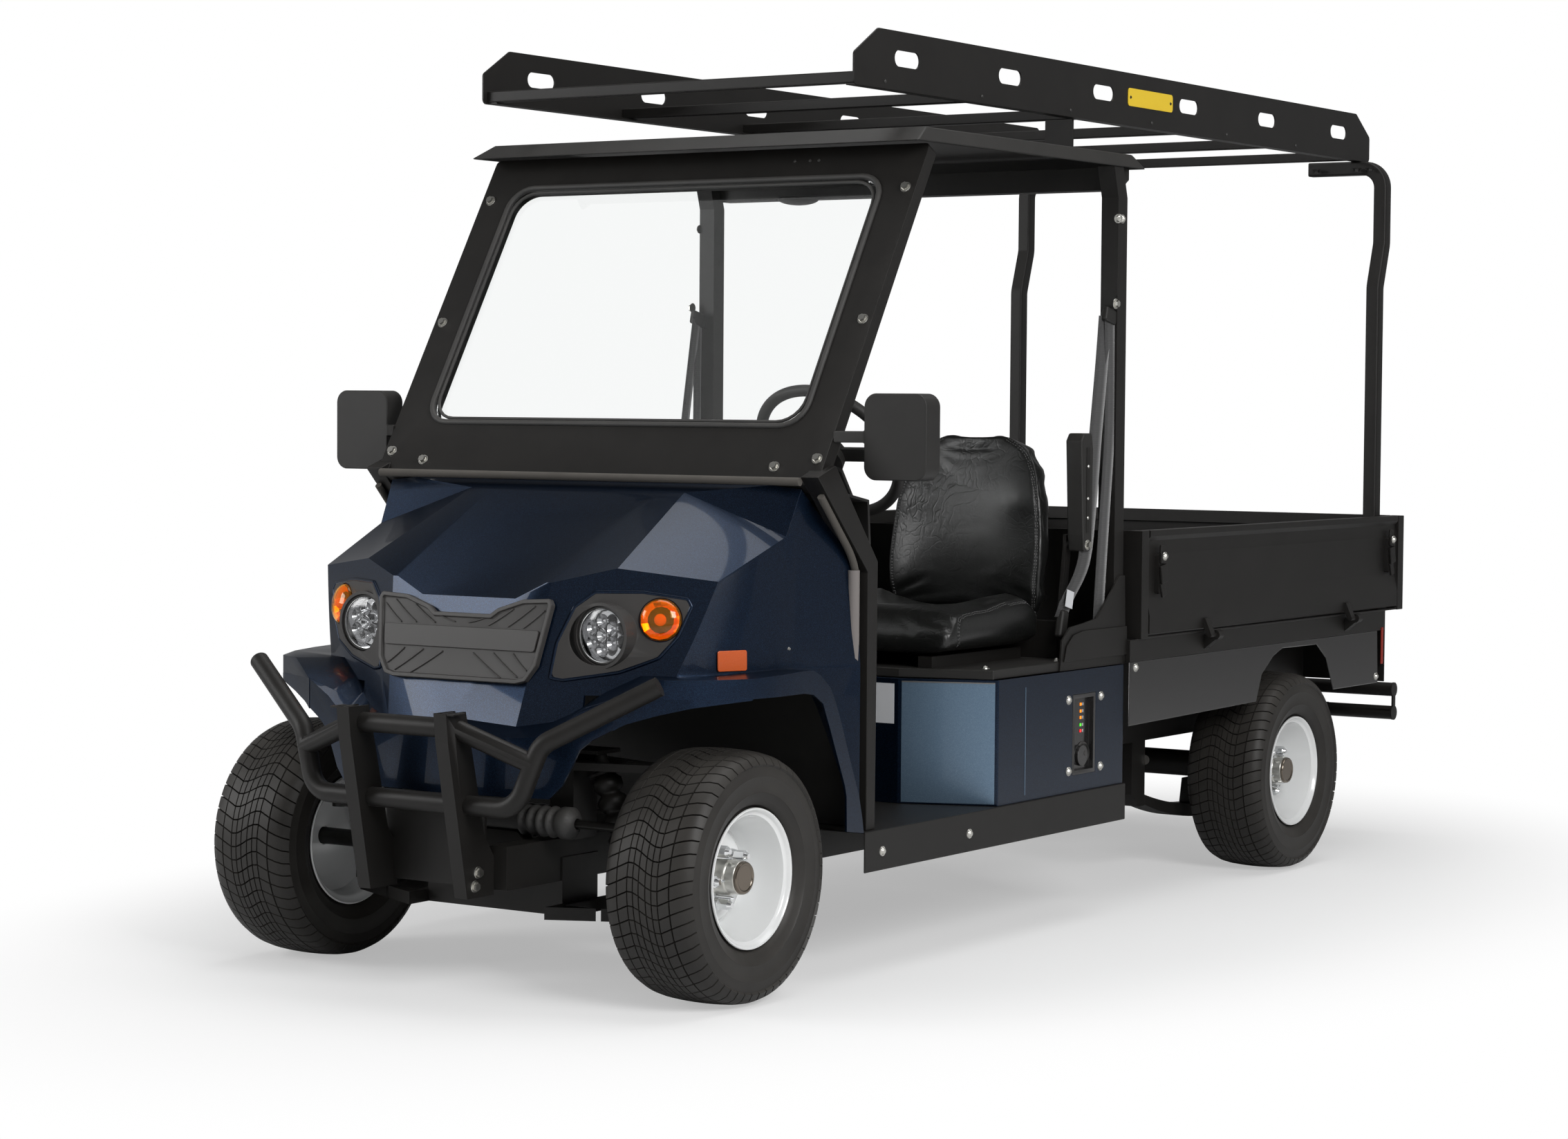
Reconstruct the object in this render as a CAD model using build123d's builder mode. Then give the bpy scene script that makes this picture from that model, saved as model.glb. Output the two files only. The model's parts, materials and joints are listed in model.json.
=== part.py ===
from build123d import *
from math import atan2, cos, degrees, radians, sin, tan
import os

# Low-speed electric utility vehicle. Millimetres, +X to the vehicle's left, +Y rearwards, +Z up.
# Stations along Y are counted from the front axle; the origin lies on the floor, mid-length.

# Wheels and axles
tyre_radius = 256
tyre_width = 205
rim_width = 172
bead_radius = 127
flange_radius = 142
wheelbase = 2490
hub_radius = 36
spindle_radius = 18
shaft_clearance = 0.05
kingpin_gap = 0.5
ball_gap = 0.5

# Body
body_half = 618
front_track_half = body_half - 98
rear_track_half = body_half - 88
kingpin_x = front_track_half - 119
sheet = 4
panel_gap = 0.3
moving_gap = 6
floor_z = 308
floor_front = 402
cab_rear = 1556
bed_front = 1605
rear_overhang = 657
bed_rear = wheelbase + rear_overhang
bed_half = body_half + 12
bed_z = 652
bed_wall_top = 905

# Reach of the ends
guard_front = 392
bumper_station = bed_rear + 103
bumper_tube = 38
end_plate_radius = 20
frame_rear = bed_rear - 89

front_axle_y = -(bumper_station + end_plate_radius - guard_front) / 2

os.makedirs("parts", exist_ok=True)
pieces = []


def side_plane(x):
    """Sketch plane across the vehicle's side: local x is the station, local y the height."""
    return Plane(origin=(x, front_axle_y, 0), x_dir=(0, 1, 0), z_dir=(1, 0, 0))


def cross_plane(station):
    """Sketch plane seen from the front: local x is X, local y the height, normal forwards."""
    return Plane(origin=(0, front_axle_y + station, 0), x_dir=(1, 0, 0), z_dir=(0, -1, 0))


def level_plane(z):
    """Sketch plane seen from above: local x is X, local y the station."""
    return Plane(origin=(0, front_axle_y, z))


def place(x, station, z):
    return Vector(x, front_axle_y + station, z)


def keep(piece, label):
    piece.part.label = label
    pieces.append(piece.part)


# Wheels: a tyre turned on a deep-dish steel rim with its hub

rim_wall = 4


def tyre(centre_x, station):
    half = tyre_width / 2
    shoulder = half - 14
    bead_half = rim_width / 2 - rim_wall - panel_gap
    with BuildPart() as ring:
        with BuildSketch(cross_plane(station)):
            with BuildLine():
                ThreePointArc((centre_x - shoulder, tyre_radius * 2 - 10),
                              (centre_x, tyre_radius * 2),
                              (centre_x + shoulder, tyre_radius * 2 - 10))
                ThreePointArc((centre_x + shoulder, tyre_radius * 2 - 10),
                              (centre_x + half, tyre_radius + 186),
                              (centre_x + bead_half, tyre_radius + flange_radius))
                Polyline((centre_x + bead_half, tyre_radius + flange_radius),
                         (centre_x + bead_half, tyre_radius + bead_radius),
                         (centre_x - bead_half, tyre_radius + bead_radius),
                         (centre_x - bead_half, tyre_radius + flange_radius))
                ThreePointArc((centre_x - bead_half, tyre_radius + flange_radius),
                              (centre_x - half, tyre_radius + 186),
                              (centre_x - shoulder, tyre_radius * 2 - 10))
            make_face()
        revolve(axis=Axis(place(0, station, tyre_radius), (1, 0, 0)))
    return ring


disc_offset = 6
hub_face = 68
hub_inner = 104
bolt_circle_radius = 57


def rim(centre_x, station, outward):
    """Rim and hub in one; outward is +1 on the left wheels and -1 on the right."""
    axle = Axis(place(0, station, tyre_radius), (1, 0, 0))
    half = rim_width / 2
    # offset from the wheel's centre, radius
    barrel = [(half, flange_radius), (half - rim_wall, flange_radius), (half - rim_wall, bead_radius - 0.2),
              (-half + rim_wall, bead_radius - 0.2), (-half + rim_wall, flange_radius), (-half, flange_radius),
              (-half, bead_radius - rim_wall), (-30, bead_radius - rim_wall), (-20, bead_radius - 16),
              (disc_offset - rim_wall, bead_radius - 24), (disc_offset - rim_wall, hub_radius),
              (-hub_inner, hub_radius), (-hub_inner, spindle_radius + shaft_clearance),
              (hub_face - 16, spindle_radius + shaft_clearance), (hub_face - 16, 0), (hub_face, 0),
              (hub_face, hub_radius - 6), (hub_face - 4, hub_radius - 3), (hub_face - 10, hub_radius),
              (disc_offset, hub_radius), (disc_offset, bead_radius - 26), (-16, bead_radius - 20),
              (-24, bead_radius - rim_wall), (half, bead_radius - rim_wall)]
    with BuildPart() as wheel:
        with BuildSketch(cross_plane(station)):
            Polygon(*[(centre_x + outward * x, tyre_radius + r) for x, r in barrel], align=None)
        revolve(axis=axle)
        with BuildSketch(side_plane(centre_x + outward * disc_offset)):
            with Locations((station, tyre_radius)):
                with PolarLocations(bolt_circle_radius, 5):
                    RegularPolygon(11, 6)
        extrude(amount=outward * 34)
    return wheel


wheel_places = [  # name, x, station
    ("front_left", front_track_half, 0),
    ("front_right", -front_track_half, 0),
    ("rear_left", rear_track_half, wheelbase),
    ("rear_right", -rear_track_half, wheelbase),
]
for name, x, station in wheel_places:
    keep(tyre(x, station), f"tyre_{name}")
    keep(rim(x, station, 1 if x > 0 else -1), f"rim_{name}")

# Front axle: knuckles on their ball joints, wishbones with coil-over dampers, rack and tie rods

upright_low = 176
upright_high = 452
upright_half = 10
upright_depth = 44
arm_station = -108
arm_z = 359
arm_thickness = 14
tie_rod_radius = 9
spindle_end = front_track_half + hub_face - 20


def knuckle(outward):
    with BuildPart() as upright:
        with BuildSketch(cross_plane(-upright_depth / 2)):
            Polygon((outward * (kingpin_x - upright_half), upright_low),
                    (outward * (kingpin_x + upright_half), upright_low),
                    (outward * (kingpin_x + upright_half), upright_high),
                    (outward * (kingpin_x - upright_half), upright_high), align=None)
        extrude(amount=-upright_depth)
        with BuildSketch(side_plane(outward * kingpin_x)):
            with Locations((0, tyre_radius)):
                Circle(spindle_radius)
        extrude(amount=outward * (spindle_end - kingpin_x))
        with BuildSketch(level_plane(arm_z)):
            Polygon((outward * (kingpin_x - upright_half), -upright_depth / 2),
                    (outward * (kingpin_x + upright_half), -upright_depth / 2),
                    (outward * (kingpin_x - 4), arm_station - 14),
                    (outward * (kingpin_x - 34), arm_station - 14), align=None)
        extrude(amount=arm_thickness)
    return upright


for outward, name in ((1, "left"), (-1, "right")):
    keep(knuckle(outward), f"knuckle_{name}")

tie_rod_inner = 252
tie_rod_outer = kingpin_x - 20
rack_station = arm_station
rack_z = arm_z - tie_rod_radius - ball_gap
rack_housing_radius = 24
bellows_radius = 33
bellows_length = 120
with BuildPart() as tie_rods:
    with BuildSketch(side_plane(-tie_rod_outer)):
        with Locations((rack_station, rack_z)):
            Circle(tie_rod_radius)
    extrude(amount=2 * tie_rod_outer)
    with BuildSketch(level_plane(rack_z - tie_rod_radius)):
        with Locations((tie_rod_outer, rack_station), (-tie_rod_outer, rack_station)):
            Circle(16)
    extrude(amount=2 * tie_rod_radius)
keep(tie_rods, "tie_rods")

housing_half = 112
with BuildPart() as rack_housing:
    rib_step = 12
    with BuildSketch(cross_plane(rack_station)):
        bore = tie_rod_radius + 2
        with BuildLine():
            Polyline((-tie_rod_inner, rack_z + bore), (tie_rod_inner, rack_z + bore),
                     (tie_rod_inner, rack_z + 17), (tie_rod_inner - 14, rack_z + bellows_radius),
                     (tie_rod_inner - 34, rack_z + bellows_radius))
            ribs = [(tie_rod_inner - 34 - rib_step * i, rack_z + bellows_radius - (9 if i % 2 else 0))
                    for i in range(9)]
            Polyline(*ribs)
            Polyline(ribs[-1], (housing_half, rack_z + rack_housing_radius),
                     (-housing_half, rack_z + rack_housing_radius), (-ribs[-1][0], ribs[-1][1]))
            Polyline(*[(-x, z) for x, z in reversed(ribs)])
            Polyline((-ribs[0][0], ribs[0][1]), (-tie_rod_inner + 14, rack_z + bellows_radius),
                     (-tie_rod_inner, rack_z + 17), (-tie_rod_inner, rack_z + bore))
        make_face()
    revolve(axis=Axis(place(0, rack_station, rack_z), (1, 0, 0)))
keep(rack_housing, "rack_housing")

wishbone_inner = 178
wishbone_spread = 105
lower_arm_z = upright_low - kingpin_gap
upper_arm_z = upright_high + kingpin_gap
damper_top = (226, 0, 478)
damper_foot = (338, 0, 176)
turret_x = 190
turret_top = 484
spring_radius = 31
spring_coils = 6


def wishbone(outward, z, thickness, spread, reach):
    with BuildPart() as arm:
        with BuildSketch(level_plane(z)):
            Polygon((outward * reach, -spread - 16), (outward * reach, spread + 16),
                    (outward * (kingpin_x + 6), 12), (outward * (kingpin_x + 6), -12), align=None)
            with Locations((outward * (reach + 62), 0)):
                Rectangle(88, 2 * spread - 60, mode=Mode.SUBTRACT)
        extrude(amount=thickness)
    return arm.part


def damper(outward):
    """Coil-over damper: a rod and body with a ribbed spring round them, on its own slant."""
    foot = Vector(outward * damper_foot[0], 0, damper_foot[2])
    top = Vector(outward * damper_top[0], 0, damper_top[2])
    length = (top - foot).length
    upright = Plane(origin=place(foot.X, 0, foot.Z), x_dir=(0, 1, 0), z_dir=top - foot)
    pitch = (length - 84) / spring_coils
    outline = [(0, 0), (15, 0), (15, 30), (spring_radius + 3, 36), (spring_radius + 3, 42)]
    for i in range(spring_coils):
        start = 42 + i * pitch
        outline += [(20, start), (spring_radius, start + pitch * 0.3), (spring_radius, start + pitch * 0.7),
                    (20, start + pitch)]
    outline += [(spring_radius + 3, length - 42), (spring_radius + 3, length - 36), (15, length - 30),
                (15, length), (0, length)]
    with BuildPart() as coil_over:
        with BuildSketch(Plane(origin=upright.origin, x_dir=upright.x_dir,
                               z_dir=upright.x_dir.cross(upright.z_dir))):
            Polygon(*[(r, h) for r, h in outline], align=None)
        revolve(axis=Axis(upright.origin, upright.z_dir))
    return coil_over.part


with BuildPart() as front_suspension:
    for outward in (1, -1):
        add(wishbone(outward, lower_arm_z - 26, 26, wishbone_spread, wishbone_inner))
        add(wishbone(outward, upper_arm_z, 16, 60, turret_x + panel_gap))
        add(damper(outward))
keep(front_suspension, "front_suspension")

# Rear axle with its drive motor, and leaf springs under the rails

axle_tube_radius = 34
brake_radius = 92
spring_x = 345
spring_low = 158
leaf_width = 60
motor_radius = 92
with BuildPart() as rear_axle:
    with BuildSketch(side_plane(-rear_track_half - hub_face + 20)):
        with Locations((wheelbase, tyre_radius)):
            Circle(spindle_radius)
    extrude(amount=2 * (rear_track_half + hub_face - 20))
    with BuildSketch(side_plane(-rear_track_half + hub_inner + 1)):
        with Locations((wheelbase, tyre_radius)):
            Circle(axle_tube_radius)
    extrude(amount=2 * (rear_track_half - hub_inner - 1))
    for outward in (1, -1):
        with BuildSketch(side_plane(outward * (rear_track_half - hub_inner - 1))):
            with Locations((wheelbase, tyre_radius)):
                Circle(brake_radius)
        extrude(amount=-outward * 30)
    with BuildSketch(level_plane(tyre_radius - 62)):
        with Locations((0, wheelbase)):
            RectangleRounded(170, 190, 40)
    extrude(amount=124)
    with BuildSketch(side_plane(60)):
        with Locations((wheelbase - 150, tyre_radius + 26)):
            Circle(motor_radius)
    extrude(amount=-230)
keep(rear_axle, "rear_axle")

hanger_front = wheelbase - 370
shackle_station = wheelbase + 390
spring_eye_z = 197
rail_rear_low = 350
rail_width = 60
leaf_gap = 0.3
with BuildPart() as leaf_springs:
    for outward in (1, -1):
        with BuildSketch(side_plane(outward * spring_x - leaf_width / 2)):
            with BuildLine():
                ThreePointArc((hanger_front, spring_eye_z + 14), (wheelbase, spring_low),
                              (shackle_station, spring_eye_z + 14))
                Line((shackle_station, spring_eye_z + 14), (shackle_station, spring_eye_z - 12))
                ThreePointArc((shackle_station, spring_eye_z - 12), (wheelbase, spring_low - 34),
                              (hanger_front, spring_eye_z - 12))
                Line((hanger_front, spring_eye_z - 12), (hanger_front, spring_eye_z + 14))
            make_face()
        extrude(amount=leaf_width)
        with BuildSketch(side_plane(outward * spring_x - leaf_width / 2)):
            Polygon((wheelbase - 60, spring_low - 2), (wheelbase + 60, spring_low - 2),
                    (wheelbase + 46, tyre_radius - axle_tube_radius - leaf_gap),
                    (wheelbase - 46, tyre_radius - axle_tube_radius - leaf_gap), align=None)
        extrude(amount=leaf_width)
keep(leaf_springs, "leaf_springs")

# Ladder frame: narrow front rails, perimeter rails under the cab, raised rear rails

front_rail_x = 150
front_rail_width = 50
front_rail_low = 222
front_rail_top = rack_z - bellows_radius - moving_gap
mid_rail_x = 400
mid_rail_low = 226
rail_rear_top = 430
frame_front = -240
cab_rail_rear = 1640
cross_members = [  # station, low, top, half width
    (380, mid_rail_low, floor_z - sheet, mid_rail_x + rail_width / 2),
    (900, mid_rail_low, floor_z - sheet, mid_rail_x + rail_width / 2),
    (1500, mid_rail_low, floor_z - sheet, mid_rail_x + rail_width / 2),
    (1640, mid_rail_low, rail_rear_top, mid_rail_x + rail_width / 2),
    (hanger_front, rail_rear_low, rail_rear_top, spring_x + rail_width / 2),
    (shackle_station, rail_rear_low, rail_rear_top, spring_x + rail_width / 2),
]
with BuildPart() as frame:
    for outward in (1, -1):
        with BuildSketch(side_plane(outward * front_rail_x - front_rail_width / 2)):
            Polygon((frame_front, front_rail_low), (floor_front - 1, front_rail_low), (floor_front - 1, front_rail_top),
                    (frame_front, front_rail_top), align=None)
        extrude(amount=front_rail_width)
        with BuildSketch(side_plane(outward * mid_rail_x - rail_width / 2)):
            Polygon((floor_front + 2, mid_rail_low), (cab_rail_rear, mid_rail_low),
                    (cab_rail_rear, floor_z - sheet), (floor_front + 2, floor_z - sheet), align=None)
        extrude(amount=rail_width)
        with BuildSketch(side_plane(outward * spring_x - rail_width / 2)):
            Polygon((cab_rail_rear - 30, rail_rear_low), (frame_rear, rail_rear_low),
                    (frame_rear, rail_rear_top), (cab_rail_rear - 30, rail_rear_top), align=None)
        extrude(amount=rail_width)
        # spring hangers
        for station in (hanger_front - 70, shackle_station):
            with BuildSketch(side_plane(outward * spring_x - leaf_width / 2)):
                Polygon((station, rail_rear_low + 5), (station, spring_eye_z + 20),
                        (station + 35, spring_eye_z - 14), (station + 70, spring_eye_z - 14),
                        (station + 70, rail_rear_low + 5), align=None)
            extrude(amount=leaf_width)
        # damper turret over the front rail
        with BuildSketch(cross_plane(-40)):
            Polygon((outward * (front_rail_x - 20), front_rail_top - 5),
                    (outward * turret_x, front_rail_top - 5), (outward * turret_x, turret_top),
                    (outward * (turret_x + 60), turret_top), (outward * (turret_x + 60), turret_top + 8),
                    (outward * (front_rail_x - 20), turret_top + 8), align=None)
        extrude(amount=-80)
    for station, low, top, half in cross_members:
        with BuildSketch(cross_plane(station - 25)):
            Polygon((-half, low), (half, low), (half, top), (-half, top), align=None)
        extrude(amount=-50)
    with BuildSketch(cross_plane(-60)):
        half = wishbone_inner - panel_gap
        Polygon((-half, 150), (half, 150), (half, front_rail_top - 40), (-half, front_rail_top - 40), align=None)
    extrude(amount=-120)
    # saddle of the steering rack
    with BuildSketch(cross_plane(rack_station - 17)):
        saddle_top = rack_z - rack_housing_radius - panel_gap
        Polygon((-130, 240), (130, 240), (130, front_rail_top - 6), (110, saddle_top), (-110, saddle_top),
                (-130, front_rail_top - 6), align=None)
    extrude(amount=-34)
keep(frame, "frame")

# Brush guard: two channel uprights, a cross tube and a swept outer tube, with a skid panel

guard_tube = 40
guard_upright_x = 142
guard_upright_width = 32
guard_web = 5
upper_tube = (-347, 554)
lower_tube = (-321, 400)
guard_tip = (523, -203, 649)
guard_joint = (298, -308, 489)
upright_side = [(-guard_front, 587), (-guard_front + 6, 530), (-324, 212), (-240, 212), (-240, 290), (-270, 335), (-318, 540),
                (-330, 587)]
with BuildPart() as bull_bar:
    for outward in (1, -1):
        x0 = outward * (guard_upright_x - guard_upright_width)
        with BuildSketch(side_plane(x0)):
            Polygon(*upright_side, align=None)
        extrude(amount=outward * guard_upright_width)
        with BuildSketch(side_plane(x0 + outward * guard_web)):
            Polygon(*[(y + guard_web, z) for y, z in upright_side[:3]],
                    (-200, 200), (-200, 620), (-300, 620), (-guard_front + 5, 620), align=None)
        extrude(amount=outward * (guard_upright_width - 2 * guard_web), mode=Mode.SUBTRACT)
    with BuildLine():
        FilletPolyline(place(-guard_tip[0], guard_tip[1], guard_tip[2]), place(-308, -303, 528),
                       place(-262, *lower_tube), place(262, *lower_tube), place(308, -303, 528),
                       place(*guard_tip), radius=58)
    with BuildSketch(Plane(origin=place(-guard_tip[0], guard_tip[1], guard_tip[2]),
                           z_dir=place(-308, -303, 528) - place(-guard_tip[0], guard_tip[1], guard_tip[2]))):
        Circle(guard_tube / 2)
    sweep()
    with BuildSketch(side_plane(-guard_upright_x)):
        with Locations(upper_tube):
            Circle(guard_tube / 2)
    extrude(amount=2 * guard_upright_x)
    for outward in (1, -1):
        start = place(outward * (guard_upright_x - 12), *upper_tube)
        end = place(outward * guard_joint[0], guard_joint[1], guard_joint[2])
        with BuildSketch(Plane(origin=start, z_dir=end - start)):
            Circle(guard_tube / 2)
        extrude(amount=(end - start).length)
    with BuildSketch(cross_plane(-246)):
        Polygon((-guard_upright_x + 14, 226), (guard_upright_x - 14, 226), (guard_upright_x - 14, 372),
                (-guard_upright_x + 14, 372), align=None)
    extrude(amount=6)
keep(bull_bar, "bull_bar")

# Cowl: an upper body standing on a fender band. The fascia, the lamp facets, the hood and its shoulders are
# planes; the sides are ruled from a level section up to the tilted plane through the hood's side edges.

cowl_wall = 5
cowl_low = 412
cowl_rear = 398
windshield_foot = (249.7, 1034.3)
post_slope = 1.03  # fall per unit of length of the front posts' oblique run
hood_point = (0, -135, 840)
hood_slope = 0.5
face_tilt = radians(12.4)
lamp_sweep = radians(25)
lamp_lean = radians(8)
lamp_point = (311, -107, 734)
lamp_brow = (338, -74, 867)
hood_corner = (body_half - 103, 1, 843)
hood_shoulder = (body_half - 78, 212, 930)
hood_rear = (body_half - 69, 265, 1040)
hood_crown = (300, 215, 1012)
nose_reach = -300
side_level = 662
side_low = [(body_half - 229, -137), (body_half - 155, -42), (body_half - 90, 81), (body_half - 59, 217),
            (body_half - 13, cowl_rear)]
side_high = [(body_half - 118, -129), (body_half - 103, 1), (body_half - 73, 245), (body_half - 45, cowl_rear)]
hood_rise = (hood_shoulder[2] - hood_corner[2]) / (hood_shoulder[1] - hood_corner[1])
cowl_facets = [  # point, normal on the left side; mirrored where X matters
    ((0, -183, 638), (0, -cos(face_tilt), sin(face_tilt))),
    (lamp_point, (sin(lamp_sweep) * cos(lamp_lean), -cos(lamp_sweep) * cos(lamp_lean), sin(lamp_lean))),
    (hood_point, (0, -hood_slope, 1)),
    ((0, *windshield_foot), (0, post_slope, 1)),
]
fender_contour = [(0, -265), (178, -250), (400, -185), (body_half - 78, -110), (body_half - 13, 0), (body_half, 80),
                  (body_half, cowl_rear)]
# the band's upper edge: seen from the front it climbs outwards, seen from the side it follows the wheel arch
ledge_tilt = atan2(0.4, 1)
ledge_front = [(0, 623), (194, 613), (235, 612), (266, 621), (297, 635), (327, 652), (400, 675), (body_half + 30, 760)]
ledge_side = [(-300, 655), (0, 655), (168, 661), (202, 660), (228, 648), (265, 620), (287, 586), (310, 538),
              (343, 462), (377, 388), (391, 337), (cowl_rear - 2, 310), (cowl_rear - 2, 200)]
front_arch = [(268, cowl_low), (294, 439), (315, 480), (330, 512), (356, 533), (416, 565), (474, 584),
              (body_half - 82, 600), (body_half + 22, 614)]
side_arch = [(-180, 614), (168, 615), (202, 610), (237, 590), (267, 530), (289, 484), (322, 414), (329, 390),
             (331, 317)]
well_inner = 288
skirt_low = 219
hood_top = 1100


def facet_normal(a, b, c, outward):
    """Normal of the plane through three points of the left side, turned upwards."""
    a, b, c = (Vector(outward * x, y, z) for x, y, z in (a, b, c))
    normal = (b - a).cross(c - a).normalized()
    return normal if normal.Z > 0 else -normal


def cut_facet(point, normal, inset, outward):
    facing = Vector(outward * normal[0], normal[1], normal[2]).normalized()
    split(bisect_by=Plane(origin=place(outward * point[0], point[1], point[2]) - facing * inset, z_dir=facing),
          keep=Keep.BOTTOM)


def side_outline(points, inset, stretch):
    """Level outline of the upper body's sides; stretch carries stations onto a tilted plane."""
    left = [(x - inset, (y - inset if y == cowl_rear else y) * stretch) for x, y in points]
    right = [(-x, v) for x, v in left]
    with BuildLine(mode=Mode.PRIVATE) as outline:
        for side in (left, right):
            Line((side[0][0], nose_reach), side[0])
            Line(side[0], side[1])
            if len(side) == 5:
                ThreePointArc(side[1], side[2], side[3])
            else:
                Line(side[1], side[2])
            Line(side[-2], side[-1])
        Line((left[0][0], nose_reach), (right[0][0], nose_reach))
        Line(left[-1], right[-1])
    return outline.line


def upper_cowl(inset):
    tilt = atan2(hood_rise, 1)
    high_plane = Plane(origin=place(0, 0, hood_corner[2] - hood_rise * hood_corner[1]), x_dir=(1, 0, 0),
                       z_dir=(0, -sin(tilt), cos(tilt)))
    with BuildPart() as sides:
        with BuildSketch(level_plane(skirt_low - inset)):
            make_face(side_outline(side_low, inset, 1).edges())
        extrude(amount=side_level - skirt_low + inset)
        with BuildSketch(level_plane(side_level)) as low_section:
            make_face(side_outline(side_low, inset, 1).edges())
        with BuildSketch(high_plane) as high_section:
            make_face(side_outline(side_high, inset, 1 / cos(tilt)).edges())
        loft([low_section.sketch, high_section.sketch], ruled=True)
        extrude(high_section.sketch, amount=hood_top - hood_corner[2], dir=(0, 0, 1))
        for point, normal in cowl_facets:
            for outward in (1, -1):
                cut_facet(point, normal, inset, outward)
    with BuildPart() as body:
        add(sides.part)
        for outward in (1, -1):
            split(bisect_by=Plane(origin=place(outward * lamp_brow[0], lamp_brow[1], lamp_brow[2])
                                  - facet_normal(lamp_brow, hood_corner, hood_shoulder, outward) * inset,
                                  z_dir=facet_normal(lamp_brow, hood_corner, hood_shoulder, outward)),
                  keep=Keep.BOTTOM)
        with BuildPart(mode=Mode.PRIVATE) as shoulders:
            add(sides.part)
            for outward in (1, -1):
                split(bisect_by=Plane(origin=place(outward * hood_shoulder[0], hood_shoulder[1], hood_shoulder[2])
                                      - facet_normal(hood_shoulder, hood_rear, hood_crown, outward) * inset,
                                      z_dir=facet_normal(hood_shoulder, hood_rear, hood_crown, outward)),
                      keep=Keep.BOTTOM)
        add(shoulders.part)
    return body.part


def lower_cowl(inset):
    right = [(-x, y) for x, y in reversed(fender_contour[1:])]
    with BuildPart() as band:
        with BuildSketch(level_plane(skirt_low - inset)):
            Polygon(*fender_contour, *right, align=None)
            if inset:
                offset(amount=-inset)
        extrude(amount=700 - skirt_low)
        with BuildSketch(side_plane(-body_half - 10)):
            Polygon(*[(y - (inset if y > 200 else 0), z - inset) for y, z in ledge_side], (cowl_rear + 60, 200),
                    (cowl_rear + 60, 900), (-300, 900), align=None)
        extrude(amount=2 * body_half + 20, mode=Mode.SUBTRACT)
        with BuildSketch(cross_plane(-40)):
            Polygon(*[(x, z - inset) for x, z in ledge_front], (body_half + 30, 1000), (-body_half - 30, 1000),
                    *[(-x, z - inset) for x, z in reversed(ledge_front[1:])], align=None)
        # the edge rises towards the back as it climbs
        extrude(amount=300, dir=(0, -cos(ledge_tilt), -sin(ledge_tilt)), mode=Mode.SUBTRACT)
        with BuildSketch(cross_plane(-40)):
            Polygon(*[(x, z - inset) for x, z in ledge_front], (body_half + 30, 1000), (-body_half - 30, 1000),
                    *[(-x, z - inset) for x, z in reversed(ledge_front[1:])], align=None)
        extrude(amount=80, dir=(0, cos(ledge_tilt), sin(ledge_tilt)), mode=Mode.SUBTRACT)
    return band.part


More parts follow.
